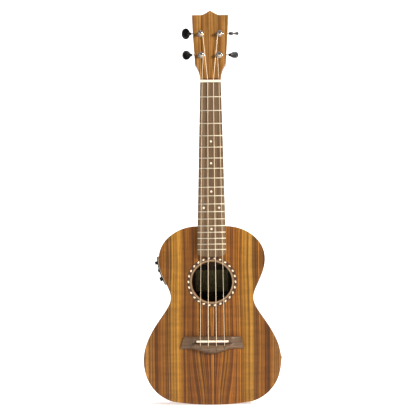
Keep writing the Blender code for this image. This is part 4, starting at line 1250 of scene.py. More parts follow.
@dataclass
class Neck:
    """The carved neck with its heel and headstock, the fingerboard, frets, dots and nut."""

    layout: Layout
    headstock: Headstock
    half_at_body: float = 23.3 * MM
    depth_nut: float = 13.5 * MM
    depth_heel: float = 16.5 * MM
    heel_depth: float = 57.0 * MM
    heel_length: float = 50.0 * MM
    heel_cap_share: float = 0.93
    heel_sweep: float = 2.3
    shaft_to_nut: float = 22.0 * MM
    section_steps: int = 36
    fret_count: int = 18
    scale: float = 432.0 * MM
    crown_half: float = 0.95 * MM
    crown_h: float = 1.0 * MM
    dot_radius: float = 1.85 * MM
    octave_dot_x: float = 12.8 * MM
    tongue_corner: float = 7.5 * MM
    tongue_end_half: float = 11.0 * MM

    def build(self) -> None:
        """Makes every piece of the neck."""
        self.carve()
        self.plane_fingerboard()
        self.set_frets()
        self.inlay_dots()
        self.shape_nut()

    def section(self, z: float, depth: float) -> Ring:
        """Draws a neck section: flat in front and elliptical behind, cut at the heel's cap.

        Args:
            z: its height.
            depth: its full depth.

        Returns:
            The section's points.
        """
        half = self.layout.board_half(z)
        ring = []
        for i in range(self.section_steps + 1):
            angle = math.pi * i / self.section_steps
            back = min(depth * math.sin(angle), self.heel_depth)
            ring.append(Vector((half * math.cos(angle), self.layout.face_y + back, z)))
        return ring

    def throat_section(self, s: float, half: float, front: float, depth: float) -> Ring:
        """Draws the boxy section that leads into the headstock.

        Args:
            s: its distance up the headstock.
            half: its half width.
            front: its front, as a depth behind the face.
            depth: its back.

        Returns:
            The section's points.
        """
        head = self.layout.head()
        ring = []
        for i in range(self.section_steps + 1):
            angle = math.pi * i / self.section_steps
            x = half * max(-1.0, min(1.0, math.cos(angle) * 1.35))
            back = front + (depth - front) * min(1.0, math.sin(angle) * 1.5)
            ring.append(head @ Vector((x, back, s)))
        return ring

    def carve(self) -> None:
        """Makes the neck, heel and headstock in one piece."""
        lay = self.layout
        full = self.heel_depth / self.heel_cap_share
        rings = []
        for i in range(21):
            share = i / 20
            z = lay.body_top + GAP / 3 + share * self.heel_length
            depth = self.depth_heel + (full - self.depth_heel) * (1 - share) ** self.heel_sweep
            rings.append(self.section(z, depth))
        heel_top = lay.body_top + self.heel_length
        shaft_top = lay.nut_z - self.shaft_to_nut
        for share in (0.25, 0.5, 0.75, 1.0):
            z = heel_top + share * (shaft_top - heel_top)
            depth = self.depth_heel + share * (self.depth_nut - self.depth_heel)
            rings.append(self.section(z, depth))
        rings.append(self.section(lay.nut_z - 10 * MM, self.depth_nut))
        head = self.headstock
        half = head.throat[0]
        back = head.thickness
        rings.append(self.throat_section(2.5 * MM, half - 0.3 * MM, 0, back + 0.4 * MM))
        rings.append(self.throat_section(12 * MM, half - 0.8 * MM, MM, back - 0.6 * MM))
        neck = carved(loft(rings), head.slab(0.0, head.thickness, 4 * MM), "UNION")
        neck = carved(neck, head.post_bores())
        make_piece("neck_carved", neck, MAHOGANY_NECK, replaces=["neck"], crease=46.0)

    def plane_fingerboard(self) -> None:
        """Makes the tapered board with its rounded tongue and eased edges."""
        lay = self.layout
        shoulder = lay.tongue_z + self.tongue_corner
        corner = bezier(
            Vector((self.tongue_end_half, lay.tongue_z)),
            Vector((self.tongue_end_half + 6 * MM, lay.tongue_z)),
            Vector((lay.board_half(shoulder) - MM, shoulder - 5 * MM)),
            Vector((lay.board_half(shoulder), shoulder)), 12,
        )
        stations = [(lay.tongue_z, self.tongue_end_half)]
        stations += [(p.y + 0.1 * MM, p.x) for p in corner]
        stations.append((lay.nut_z - GAP / 3, lay.board_half(lay.nut_z)))
        rings = []
        foot = 0.05 * MM
        top = lay.fingerboard_top
        for z, half in stations:
            corners = ((-half, foot), (half, foot), (half, top), (-half, top))
            rings.append([Vector((x, lay.front_y(h), z)) for x, h in corners])
        make_piece(
            "fingerboard_planed", loft(rings), WALNUT_BOARD, replaces=["fingerboard"],
            edge=0.35 * MM, crease=SOFT_CREASE,
        )

    def fret_z(self, number: float) -> float:
        """The height of a fret's middle."""
        return self.layout.nut_z - self.scale * (1 - 2 ** (-number / 12))

    def set_frets(self) -> None:
        """Makes the frets: a round crown with bevelled ends, seated on the board."""
        lay = self.layout
        seat = lay.fingerboard_top - 0.1 * MM
        rise = self.crown_h + GAP + 0.1 * MM
        section = []
        for i in range(11):
            angle = math.pi * i / 10
            section.append((-self.crown_half * math.cos(angle), rise * math.sin(angle) ** 0.8))
        for number in range(1, self.fret_count + 1):
            z = self.fret_z(number)
            half = lay.board_half(z) - 0.15 * MM
            rings = []
            for side, share in ((-1, 0.35), (-1, 1.0), (1, 1.0), (1, 0.35)):
                x = side * (half - (0.0 if share < 1 else 0.7 * MM))
                rings.append(
                    [Vector((x, lay.front_y(seat + h * share), z + dz)) for dz, h in section]
                )
            make_piece(
                f"fret_wire_{number:02d}", loft(rings), NICKEL_SILVER,
                replaces=[f"fret_{number:02d}"], crease=SOFT_CREASE,
            )

    def inlay_dots(self) -> None:
        """Makes the position dots on the board and the small ones on its bass edge."""
        lay = self.layout
        face = [(-0.3, 1.0), (0.02, 1.0), (0.07, 0.9), (0.09, 0.5)]
        for number in (5, 7, 10, 12, 15):
            z = (self.fret_z(number) + self.fret_z(number - 1)) / 2
            places = (-self.octave_dot_x, self.octave_dot_x) if number == 12 else (0.0,)
            dots = []
            for x in places:
                dot = turned([(self.dot_radius * r, h * MM) for h, r in face], 28)
                place = Matrix.Translation((x, lay.front_y(lay.fingerboard_top), z))
                dots.append(moved(dot, place @ turn("X", 90)))
            make_piece(f"position_dots_{number:02d}", merged(dots), PEARL)
            edge = turned([(0.9 * MM * r, h * MM) for h, r in face], 20)
            middle = lay.front_y(lay.fingerboard_top / 2)
            place = Matrix.Translation((-lay.board_half(z), middle, z))
            edge = moved(edge, place @ turn("Y", -90))
            make_piece(f"side_dot_{number:02d}", edge, PEARL)

    def shape_nut(self) -> None:
        """Makes the nut with its rounded back and a notch for each string."""
        lay = self.layout
        top = Strings.nut_height + 0.7 * MM
        half_t = lay.nut_t / 2
        profile = [(-half_t, 0.1 * MM), (-half_t, top - 0.3 * MM), (-half_t + 0.4 * MM, top)]
        for i in range(7):
            angle = math.pi / 2 * i / 6
            profile.append(
                (half_t - 2.2 * MM * (1 - math.sin(angle)), top - 1.6 * MM * (1 - math.cos(angle)))
            )
        profile.append((half_t, 0.1 * MM))
        middle = lay.nut_z + half_t
        rings = []
        for x in (-lay.half_at_nut, lay.half_at_nut):
            rings.append([Vector((x, lay.front_y(h), middle + dz)) for dz, h in profile])
        cutters = []
        for string in Strings.all_strings():
            x = lay.string_x(string.order, lay.nut_z)
            width = string.radius + 0.12 * MM
            floor = Strings.nut_height - string.radius - 0.1 * MM
            low = (x - width, lay.front_y(top + 3 * MM), lay.nut_z - 2 * MM)
            high = (x + width, lay.front_y(floor), lay.nut_z + lay.nut_t + 2 * MM)
            cutters.append(block(low, high))
        nut = carved(loft(rings), merged(cutters))
        make_piece("nut_polished", nut, BONE, replaces=["nut"], edge=0.25 * MM, crease=45.0)


# ================================================================ bridge
@dataclass
class Bridge:
    """The carved bridge with scooped wings, its saddle and the slots of the tie block."""

    layout: Layout
    top_half: float = 47.4 * MM
    foot_half: float = 53.5 * MM
    head: float = 8.0 * MM
    foot: float = 12.5 * MM
    belly: float = 21.5 * MM
    belly_half: float = 38.0 * MM
    wing_tip_h: float = 2.1 * MM
    wing_root_h: float = 6.1 * MM
    block_half: float = 31.0 * MM
    scoop: float = 7.0 * MM
    block_h: float = 6.2 * MM
    tie_h: float = 7.8 * MM
    ledge_h: float = 4.9 * MM
    saddle_half: float = 26.75 * MM
    saddle_t: float = 3.2 * MM
    saddle_top: float = 10.3 * MM
    slot_half: float = 0.9 * MM
    scoop_power: float = 2.6
    wing_power: float = 1.7

    def build(self) -> None:
        """Makes the bridge and its saddle."""
        body = loft([self.section(x) for x in self.stations()])
        body = carved(body, self.slots())
        make_piece(
            "bridge_carved", body, WALNUT_BRIDGE, replaces=["bridge"], edge=0.3 * MM, crease=48.0
        )
        self.shape_saddle()

    def stations(self) -> list[float]:
        """Gives the places across the body where the bridge is sectioned.

        Returns:
            X values from the bass tip to the treble tip.
        """
        half = [self.block_half * i / 14 for i in range(15)]
        half += [self.block_half + self.scoop * i / 12 for i in range(1, 13)]
        start = half[-1]
        tip = self.foot_half - 0.2 * MM
        half += [start + (tip - start) * i / 8 for i in range(1, 9)]
        return [-x for x in reversed(half[1:])] + half

    def section(self, x: float) -> Ring:
        """Draws the bridge's section at a place across the body.

        Args:
            x: the place.

        Returns:
            The section's points.
        """
        size = abs(x)
        head = self.head
        if size > self.top_half:
            share = (size - self.top_half) / (self.foot_half - self.top_half)
            head = self.head - share * (self.head + self.foot)
        foot = -self.foot
        if size < self.belly_half:
            swell = 0.5 * (1 + math.cos(math.pi * size / self.belly_half))
            foot -= (self.belly - self.foot) * swell
        raised = min(max((size - self.block_half) / self.scoop, 0.0), 1.0)
        raised = (1 - raised) ** self.scoop_power
        out = min(max((size - self.block_half) / (self.foot_half - self.block_half), 0.0), 1.0)
        wing = self.wing_tip_h + (self.wing_root_h - self.wing_tip_h) * (1 - out) ** self.wing_power
        crest = (
            (1.0, 0.0, 0.0), (1.0, 0.55, 0.62), (0.93, 0.86, 0.86), (0.80, 1.0, 1.0),
            (0.45, 1.0, 1.0), (0.0, 1.0, 1.0),
        )
        ring = []
        for along, wing_share, block_share in crest:
            height = wing * wing_share * (1 - raised) + self.block_h * block_share * raised
            ring.append((min(along * self.head, head) if along < 1 else head, height))
        rear = (
            (-4.2 * MM, self.block_h), (-5.0 * MM, self.ledge_h), (-6.2 * MM, self.ledge_h),
            (-7.2 * MM, self.tie_h - 0.6 * MM), (-8.4 * MM, self.tie_h), (-11.5 * MM, self.tie_h),
            (-14.2 * MM, self.tie_h - 0.3 * MM), (-17.8 * MM, self.tie_h - 1.9 * MM),
            (-20.8 * MM, self.wing_tip_h), (-21.5 * MM, 0.0),
        )
        span = -foot
        for z, height in rear:
            at = z * span / self.belly
            share = -z / self.belly
            edge = min(1.0, (1 - share) * 9) ** 0.5 if share > 0.85 else 1.0
            low = wing * edge
            lift = low * (1 - raised) + height * raised
            ring.append((max(at, foot) if head > at else head, lift))
        ring = [(min(z, head), h) for z, h in ring]
        place = self.layout.saddle_z
        base = 0.05 * MM
        return [Vector((x, self.layout.front_y(base + h), place + z)) for z, h in ring]

    def slots(self) -> Mesh:
        """Makes the cutter for the saddle's slot and the strings' slots.

        Returns:
            The closed cutter.
        """
        lay = self.layout
        half_t = self.saddle_t / 2 + 0.08 * MM
        half = self.saddle_half + 0.08 * MM
        cutters = [
            block(
                (-half, lay.front_y(20 * MM), lay.saddle_z - half_t),
                (half, lay.front_y(2 * MM), lay.saddle_z + half_t),
            )
        ]
        for string in Strings.all_strings():
            x = lay.string_x(string.order, lay.saddle_z)
            z = lay.saddle_z - string.tie_length - 2 * MM
            cutters.append(
                block(
                    (x - self.slot_half, lay.front_y(20 * MM), z),
                    (x + self.slot_half, lay.front_y(self.ledge_h), lay.saddle_z - 5.6 * MM),
                )
            )
        return merged(cutters)

    def shape_saddle(self) -> None:
        """Makes the saddle blade with a round crown and eased ends."""
        lay = self.layout
        half_t = self.saddle_t / 2
        profile = [(half_t, 2.1 * MM)]
        for i in range(9):
            angle = math.pi * i / 8
            profile.append(
                (half_t * math.cos(angle), self.saddle_top - 1.1 * MM * (1 - math.sin(angle)))
            )
        profile.append((-half_t, 2.1 * MM))
        rings = []
        ends = ((0.95, 0), (0.985, 0.45), (1, 1.3))
        for share, drop in [(-share, drop) for share, drop in reversed(ends)] + list(ends):
            ring = []
            for dz, height in profile:
                lowered = height - drop * MM if height > 3 * MM else height
                x = share * self.saddle_half
                ring.append(Vector((x, lay.front_y(lowered), lay.saddle_z + dz)))
            rings.append(ring)
        make_piece("saddle_polished", loft(rings), BONE, replaces=["saddle"], crease=SOFT_CREASE)


# ================================================================ strings
@dataclass(frozen=True)
class StringRow:
    """One string: its name, place in the row, radius and how far its knot lies past the saddle."""

    name: str
    order: float
    radius: float
    tie_length: float


@dataclass
class Strings:
    """The four strings, from the tie block over saddle and nut to their posts."""

    layout: Layout
    at_saddle: float = 13.43 * MM
    at_nut: float = 9.43 * MM
    saddle_height: float = 11.0 * MM
    nut_height: float = 7.1 * MM
    turns: float = 2.4
    pitch: float = 1.4 * MM
    steps: int = 28

    @staticmethod
    def all_strings() -> tuple[StringRow, ...]:
        """The strings from the bass side to the treble side."""
        return (
            StringRow("g", -1.5, 0.32 * MM, 10.0 * MM), StringRow("c", -0.5, 0.45 * MM, 13.4 * MM),
            StringRow("e", 0.5, 0.40 * MM, 13.4 * MM), StringRow("a", 1.5, 0.30 * MM, 10.0 * MM),
        )

    def build(self) -> None:
        """Makes each string with its windings and its knot."""
        for string in self.all_strings():
            parts = [swept(self.route(string), string.radius, 12), self.knot(string)]
            make_piece(
                f"string_{string.name}_nylon", merged(parts), NYLON,
                replaces=[f"string_{string.name}"], crease=60.0,
            )

    def route(self, string: StringRow) -> list[Vector]:
        """Draws a string's centre line.

        Args:
            string: the string.

        Returns:
            Its points, from the tie block to the last turn on the post.
        """
        lay = self.layout
        tuner = next(t for t in Tuners.all_tuners() if t.name == string.name)
        tie_x = lay.string_x(string.order, lay.saddle_z)
        nut_x = lay.string_x(string.order, lay.nut_z)
        seat = Bridge.ledge_h + string.radius + GAP
        over = self.saddle_height
        points = []
        for z, height in (
            (-string.tie_length, seat), (-8.8 * MM, seat + 0.2 * MM), (-1.9 * MM, over - 0.9 * MM),
            (-1.2 * MM, over - 0.35 * MM), (-0.3 * MM, over),
        ):
            points.append(Vector((tie_x, lay.front_y(height), lay.saddle_z + z)))
        drops = ((0.3 * MM, 0.0), (lay.nut_t - 1.6 * MM, 0.0), (lay.nut_t - 0.6 * MM, 0.3 * MM))
        for z, drop in drops:
            y = lay.front_y(self.nut_height - drop)
            points.append(Vector((nut_x, y, lay.nut_z + z)))
        head = lay.head()
        sign = -1 if string.order < 0 else 1
        coil = Tuners.waist_radius + 0.1 * MM + string.radius
        first = Headstock.veneer_t + GAP + Tuners.waist_from + string.radius + GAP
        for i in range(round(self.turns * self.steps) + 1):
            angle = 2 * math.pi * i / self.steps
            depth = -(first + self.pitch * i / self.steps)
            x = tuner.x - sign * coil * math.cos(angle)
            points.append(head @ Vector((x, depth, tuner.s + coil * math.sin(angle))))
        return points

    def knot(self, string: StringRow) -> Mesh:
        """Ties the small stopper knot in the tie block's slot.

        Args:
            string: the string.

        Returns:
            The knot's closed mesh.
        """
        lay = self.layout
        size = string.radius * 1.25
        middle = Vector(
            (
                lay.string_x(string.order, lay.saddle_z),
                lay.front_y(Bridge.ledge_h + string.radius + GAP + size * 0.2),
                lay.saddle_z - string.tie_length - size,
            )
        )
        path = []
        for i in range(25):
            angle = 2 * math.pi * i / 24 * 1.5
            path.append(
                middle
                + Vector(
                    (
                        size * 0.75 * math.sin(angle), -size * 0.6 * math.cos(angle),
                        size * (1.2 - 2.4 * i / 24),
                    )
                )
            )
        return swept(path, string.radius * 0.8, 8)


# ================================================================ tuners
@dataclass(frozen=True)
class TunerPlace:
    """One tuner: its string's name, its side, its post's place and its button's turn."""

    name: str
    sign: int
    x: float
    s: float
    turn: float


@dataclass
class Tuners:
    """Four sealed, geared tuners with chrome metal and black oval buttons."""

    layout: Layout
    headstock: Headstock
    post_radius: float = 3.0 * MM
    waist_radius: float = 2.5 * MM
    waist_from: float = 2.4 * MM
    waist_to: float = 8.0 * MM
    post_height: float = 9.9 * MM
    bushing_radius: float = 5.3 * MM
    bushing_t: float = 1.3 * MM
    housing_t: float = 9.2 * MM
    housing_margin: float = 6.2 * MM
    housing_out: float = 8.5 * MM
    worm_offset: float = 6.3 * MM
    shaft_depth: float = 4.5 * MM
    shaft_radius: float = 1.35 * MM
    key_reach: float = 32.4 * MM
    button_length: float = 14.4 * MM
    button_half: float = 9.5 * MM
    button_half_t: float = 2.95 * MM
    button_waist: float = 1.35 * MM

    @staticmethod
    def all_tuners() -> tuple[TunerPlace, ...]:
        """The tuners from the bass side to the treble side."""
        low, high = (15.0 * MM, 42.5 * MM), (15.9 * MM, 80.1 * MM)
        return (
            TunerPlace("g", -1, -low[0], low[1], 19), TunerPlace("c", -1, -high[0], high[1], -11),
            TunerPlace("e", 1, high[0], high[1], 103), TunerPlace("a", 1, low[0], low[1], -42),
        )

    def build(self) -> None:
        """Makes every tuner."""
        for tuner in self.all_tuners():
            self.make_post(tuner)
            self.make_bushing(tuner)
            self.make_housing(tuner)
            self.make_key(tuner)

    def upright(self, tuner: TunerPlace) -> Matrix:
        """The post's frame, with local Z pointing out of the headstock's face."""
        place = Matrix.Translation((tuner.x, 0, tuner.s))
        return self.layout.head() @ place @ turn("X", 90)

    def fit(
        self,
        tuner: TunerPlace,
        name: str,
        bm: Mesh,
        place: Matrix,
        finish: Finish = CHROME,
        body: str = "",
        node: str = "",
        **settings: float,
    ) -> None:
        """Sets one piece of a tuner in its place.

        Args:
            tuner: the tuner.
            name: the piece's name, without its tuner's.
            bm: its mesh, which is used up.
            place: where it goes.
            finish: its finish.
            body: the tuner's body that it moves with, if it moves.
            node: the tuner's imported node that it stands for, if any.
            settings: its edge, crease and segments.
        """
        make_piece(
            f"tuner_{tuner.name}_{name}", moved(bm, place), finish,
            body=f"{tuner.name}_{body}" if body else INSTRUMENT,
            replaces=[f"tuner_{tuner.name}_{node}"] if node else (), **settings,
        )

    def make_post(self, tuner: TunerPlace) -> None:
        """Makes a post with its waist, domed end and cross hole.

        Args:
            tuner: the tuner.
        """
        face = Headstock.veneer_t + GAP
        back = -(self.headstock.thickness + GAP + self.shaft_depth + 1.5 * MM)
        radius, waist = self.post_radius, self.waist_radius
        low, high, top = (face + h for h in (self.waist_from, self.waist_to, self.post_height))
        profile = [
            (3.9 * MM, back), (3.9 * MM, back + 3 * MM), (radius, back + 3.1 * MM),
            (radius, low - 0.3 * MM), (waist + 0.12 * MM, low + 0.1 * MM), (waist, low + 0.5 * MM),
            (waist, high - 0.5 * MM), (waist + 0.12 * MM, high - 0.1 * MM),
            (radius, high + 0.25 * MM), (radius, top - 0.7 * MM),
            (radius - 0.2 * MM, top - 0.25 * MM), (radius - 0.7 * MM, top),
            (radius * 0.45, top - 0.05 * MM), (radius * 0.4, top - 0.35 * MM),
        ]
        post = turned(profile, 40)
        bore = turned([(0.75 * MM, -6 * MM), (0.75 * MM, 6 * MM)], 16)
        place = Matrix.Translation((0, 0, high - 1.3 * MM))
        post = carved(post, moved(bore, place @ turn("Y", 90)))
        place = self.upright(tuner)
        self.fit(tuner, "post_turned", post, place, body="post", node="post", crease=TURNED_CREASE)

    def make_bushing(self, tuner: TunerPlace) -> None:
        """Makes the flanged bushing with its dished washer.

        Args:
            tuner: the tuner.
        """
        face = Headstock.veneer_t + GAP
        bore = self.post_radius + 0.15 * MM
        outer = self.bushing_radius
        profile = [
            (bore, -7 * MM), (3.8 * MM, -7 * MM), (3.8 * MM, face + 0.05 * MM),
            (outer, face + 0.05 * MM), (outer, face + 0.45 * MM),
            (outer - 0.12 * MM, face + 0.7 * MM), (outer - 0.4 * MM, face + 0.85 * MM),
            (outer - 0.9 * MM, face + 0.9 * MM), (outer - 1.0 * MM, face + self.bushing_t),
            (outer - 1.2 * MM, face + self.bushing_t + 0.15 * MM),
            (bore + 0.15 * MM, face + self.bushing_t + 0.15 * MM), (bore, face + self.bushing_t),
        ]
        bushing = turned(profile, 40, hollow=True)
        place = self.upright(tuner)
        self.fit(tuner, "bushing_flanged", bushing, place, node="bushing", crease=TURNED_CREASE)

    def make_housing(self, tuner: TunerPlace) -> None:
        """Makes the die-cast gear housing, its cover, its foot and the foot's screw.

        Args:
            tuner: the tuner.
        """
        front = self.headstock.thickness + 0.05 * MM
        back = front + GAP + self.housing_t
        top = tuner.s + self.worm_offset + 4.1 * MM
        reach = (-self.housing_margin, self.housing_out)
        left, right = sorted(tuner.x + tuner.sign * out for out in reach)
        head = self.layout.head()
        shell = block((left, front, tuner.s - self.housing_margin), (right, back, top))
        self.fit(tuner, "housing_cast", shell, head, node="housing", edge=1.9 * MM, segments=6)
        rear = head @ Matrix.Translation((tuner.x, back, tuner.s)) @ turn("X", -90)
        cover = [
            (4.9 * MM, -0.6 * MM), (4.9 * MM, 0.15 * MM), (4.6 * MM, 0.4 * MM),
            (1.5 * MM, 0.55 * MM), (1.35 * MM, 0.35 * MM), (0.4 * MM, 0.35 * MM),
        ]
        self.fit(tuner, "cover", turned(cover, 36), rear, crease=FINE_CREASE)
        foot_s = tuner.s - self.housing_margin - 2.4 * MM
        foot = head @ Matrix.Translation((tuner.x, front, foot_s)) @ turn("X", -90)
        lug = turned([(2.9 * MM, 0), (2.9 * MM, 1.3 * MM), (2.6 * MM, 1.6 * MM)], 30)
        self.fit(tuner, "foot", lug, foot, crease=FINE_CREASE)
        profile = ((1.7, 1.5), (1.7, 1.9), (1.3, 2.35), (0.5, 2.5))
        screw = turned([(r * MM, h * MM) for r, h in profile], 24)
        for quarter in (0, math.pi / 2):
            groove = block((-1.1 * MM, -0.2 * MM, 2.0 * MM), (1.1 * MM, 0.2 * MM, 3 * MM))
            screw = carved(screw, moved(groove, Matrix.Rotation(quarter + 0.4, 4, "Z")))
        self.fit(tuner, "screw", screw, foot, NICKEL, crease=FINE_CREASE)

    def make_key(self, tuner: TunerPlace) -> None:
        """Makes the key: a chrome shaft with its worm and collar, and the dished oval button.

        Args:
            tuner: the tuner.
        """
        depth = self.headstock.thickness + GAP + self.shaft_depth
        axle = self.layout.head() @ Matrix.Translation(
            (tuner.x, depth, tuner.s + self.worm_offset)
        )
        outward = axle @ turn("Y", tuner.sign * 90) @ turn("Z", tuner.turn)
        start = self.key_reach - self.button_length
        shaft = turned(
            [
                (1.8 * MM, -4 * MM), (1.8 * MM, 4 * MM), (self.shaft_radius, 4.1 * MM),
                (self.shaft_radius, self.housing_out + 0.4 * MM),
                (2.3 * MM, self.housing_out + 0.5 * MM), (2.3 * MM, self.housing_out + 1.0 * MM),
                (1.9 * MM, self.housing_out + 1.3 * MM),
                (self.shaft_radius, self.housing_out + 1.4 * MM),
                (self.shaft_radius, start + 2 * MM),
            ],
            28,
        )
        self.fit(tuner, "shaft", shaft, outward, body="key", node="key", crease=TURNED_CREASE)
        profile = (
            (1.9, -2.3), (2.2, -2.0), (2.5, -0.8), (2.9, 0.6), (3.0, 2.0), (2.6, 3.6), (1.8, 4.8),
            (0.8, 5.4),
        )
        collar = turned([(r * MM, start + h * MM) for r, h in profile], 28)
        button = carved(self.oval(start), collar, "UNION")
        self.fit(tuner, "button", button, outward, BLACK_GLOSS, body="key", crease=SOFT_CREASE)

    def oval(self, start: float) -> Mesh:
        """Makes the oval, with a thin waist at the collar and a thick round outer end.

        Args:
            start: where it starts on the shaft.

        Returns:
            The closed mesh, on the local Z axis.
        """
        steps = 22
        rings = []
        for i in range(steps):
            along = 0.5 - 0.5 * math.cos(math.pi * (0.04 + 0.94 * i / (steps - 1)))
            out = 2 * along - 1
            width = (1 - abs(out) ** 2.15) ** 0.5 * (1 - 0.12 * max(0.0, -out) ** 1.5)
            swell = min(max((along - 0.46) / 0.36, 0.0), 1.0)
            flare = 1 - min(along / 0.26, 1.0)
            thick = self.button_waist + 0.6 * MM * flare**2
            thick += (self.button_half_t - self.button_waist) * swell * swell * (3 - 2 * swell)
            thick *= math.sqrt(1 - max((along - 0.82) / 0.18, 0.0) ** 2)
            height = start + self.button_length * along
            rings.append(squared_oval((self.button_half * width, thick), height, 40, 0.8))
        return loft(rings)


# ================================================================ electronics
@dataclass
class Preamp:
    """The side-mounted preamp: an ivory gasket, a black panel with its box, and its controls."""

    layout: Layout
    from_z: float = 201.2 * MM
    to_z: float = 248.0 * MM
    centre: float = 30.0 * MM
    half: float = 18.0 * MM
    corner: float = 3.0 * MM
    gasket_t: float = 1.4 * MM
    proud: float = 3.1 * MM
    margin: float = 6.0 * MM
    box_depth: float = 18.0 * MM
    button_rise: float = 0.5 * MM
    button_radius: float = 3.0 * MM
    tone_radius: float = 2.8 * MM
    volume_radius: float = 3.5 * MM
    knob_height: float = 4.2 * MM
    flutes: int = 18
    flute_depth: float = 0.045

    def band(
        self, inner: float, outer: float, margin: float = 0.0, flat: Optional[float] = None
    ) -> Mesh:
        """Makes a curved block along the bass side.

        Args:
            inner: how far its near face stands off the side.
            outer: how far its far face stands off the side.
            margin: how much smaller it is than the panel, all round.
            flat: the half width of a flat inner wall, in place of the near face.

        Returns:
            The closed mesh.
        """
        low, high = self.from_z + margin, self.to_z - margin
        radius = self.corner
        stations = []
        for i in range(7):
            stations.append(low + radius * (1 - math.cos(math.pi / 2 * i / 6)))
        stations += [low + radius + (high - low - 2 * radius) * i / 16 for i in range(1, 16)]
        for i in range(6, -1, -1):
            stations.append(high - radius * (1 - math.cos(math.pi / 2 * i / 6)))
        rings = []
        for z in stations:
            x, normal = self.layout.edge_at(z)
            end = min(z - low, high - z)
            cut = radius - math.sqrt(max(radius**2 - max(radius - end, 0.0) ** 2, 0.0))
            reach = self.half - margin / 2 - cut
            near = Vector((x, z)) + normal * inner
            far = Vector((x, z)) + normal * outer
            if flat is not None:
                near = Vector((flat, z))
                far = Vector((x + outer / normal.x, z))
            middle = self.layout.face_y + self.centre
            corners = (
                (near, middle - reach), (far, middle - reach), (far, middle + reach),
                (near, middle + reach),
            )
            rings.append([Vector((-p.x, y, p.y)) for p, y in corners])
        return loft(rings)

    def opening(self) -> Mesh:
        """The cutter for the hole in the bass side."""
        wall = self.layout.edge_at(self.from_z + self.margin)[0] - 12 * MM
        return self.band(0, 6 * MM, self.margin - 0.5 * MM, wall)

    def control(self, joint: str) -> Matrix:
        """Gives a control's frame on the panel's face, with local Z pointing out of the body.

        Args:
            joint: the joint that moves it.

        Returns:
            The frame.
        """
        row = next(j for j in frame["joints"] if j["name"] == joint)
        out = Vector(row["axis"])
        out = out if out.x < 0 else -out
        if "pos_m" in row:
            place = Vector(row["pos_m"])
        else:
            low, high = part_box(f"preamp_{row['child']}")
            place = (low + high) / 2 + out * self.button_rise
        swing = Vector((0, 0, 1)).rotation_difference(out)
        return Matrix.Translation(place) @ swing.to_matrix().to_4x4()

    def build(self) -> None:
        """Makes the gasket, the panel, its box and the three controls."""
        wall = self.layout.edge_at(self.from_z + self.margin)[0] - self.box_depth
        parts = [
            self.band(0.05 * MM, self.gasket_t),
            self.band(self.gasket_t + 0.02 * MM, self.proud, 0.25 * MM),
            self.band(0, self.gasket_t, self.margin, wall),
        ]
        for joint, radius, depth in (
            ("tone_knob_turn", 1.6, 5.4), ("volume_knob_turn", 1.6, 5.4),
            ("tune_button_press", 3.3, 4.7),
        ):
            for i, part in enumerate(parts):
                well = turned([(radius * MM, -depth * MM), (radius * MM, 4 * MM)], 28)
                parts[i] = carved(part, moved(well, self.control(joint)))
        for part, name, finish, edge in zip(
            parts, ("preamp_gasket", "preamp_panel", "preamp_box"),
            (IVORY_GASKET, BLACK_MATT, BLACK_MATT), (0.25 * MM, 0.25 * MM, 0.4 * MM),
        ):
            make_piece(name, part, finish, replaces=["preamp_unit"], edge=edge)
        self.make_knob("tone", self.tone_radius)
        self.make_knob("volume", self.volume_radius)
        self.make_button()

    def make_knob(self, name: str, radius: float) -> None:
        """Makes a fluted knob with a painted pointer.

        Args:
            name: the knob's name.
            radius: its radius.
        """
        height = self.knob_height
        count = self.flutes * 4
        rings = []
        for share, h in (
            (0.42, -5.0 * MM), (0.42, 0.35 * MM), (0.92, 0.4 * MM), (1.0, 0.7 * MM),
            (1.0, height - 0.8 * MM), (0.96, height - 0.3 * MM), (0.86, height), (0.60, height),
            (0.55, height - 0.2 * MM),
        ):
            ring = []
            for i, p in enumerate(circle(radius * share, h, count)):
                wave = 1 - math.cos(2 * math.pi * i * self.flutes / count)
                groove = self.flute_depth * wave / 2
                keep = 1 - groove if share > 0.95 else 1.0
                ring.append(Vector((p.x * keep, p.y * keep, p.z)))
            rings.append(ring)
        place = self.control(f"{name}_knob_turn")
        make_piece(
            f"preamp_{name}_knob_fluted", moved(loft(rings), place), BLACK_KNOB,
            body=f"{name}_knob", replaces=[f"preamp_{name}_knob"], crease=40.0,
        )
        low = (-0.22 * MM, radius * 0.25, height - 0.4 * MM)
        pointer = block(low, (0.22 * MM, radius * 0.85, height + 0.06 * MM))
        make_piece(
            f"preamp_{name}_pointer", moved(pointer, place), POINTER_PAINT, body=f"{name}_knob",
            edge=0.05 * MM,
        )

    def make_button(self) -> None:
        """Makes the tuner's domed push button."""
        radius, shoulder = self.button_radius, 1.3 * MM
        profile = [(radius, -0.5 * MM), (radius, shoulder)]
        for i in range(1, 7):
            angle = math.pi / 2 * i / 7
            inwards, up = 0.8 * MM * (1 - math.cos(angle)), 0.6 * MM * math.sin(angle)
            profile.append((radius - inwards, shoulder + up))
        profile.append((radius * 0.5, 2.0 * MM))
        make_piece(
            "preamp_tune_button_domed",
            moved(turned(profile, 36), self.control("tune_button_press")), BLACK_KNOB,
            body="tune_button", replaces=["preamp_tune_button"], crease=SOFT_CREASE,
        )


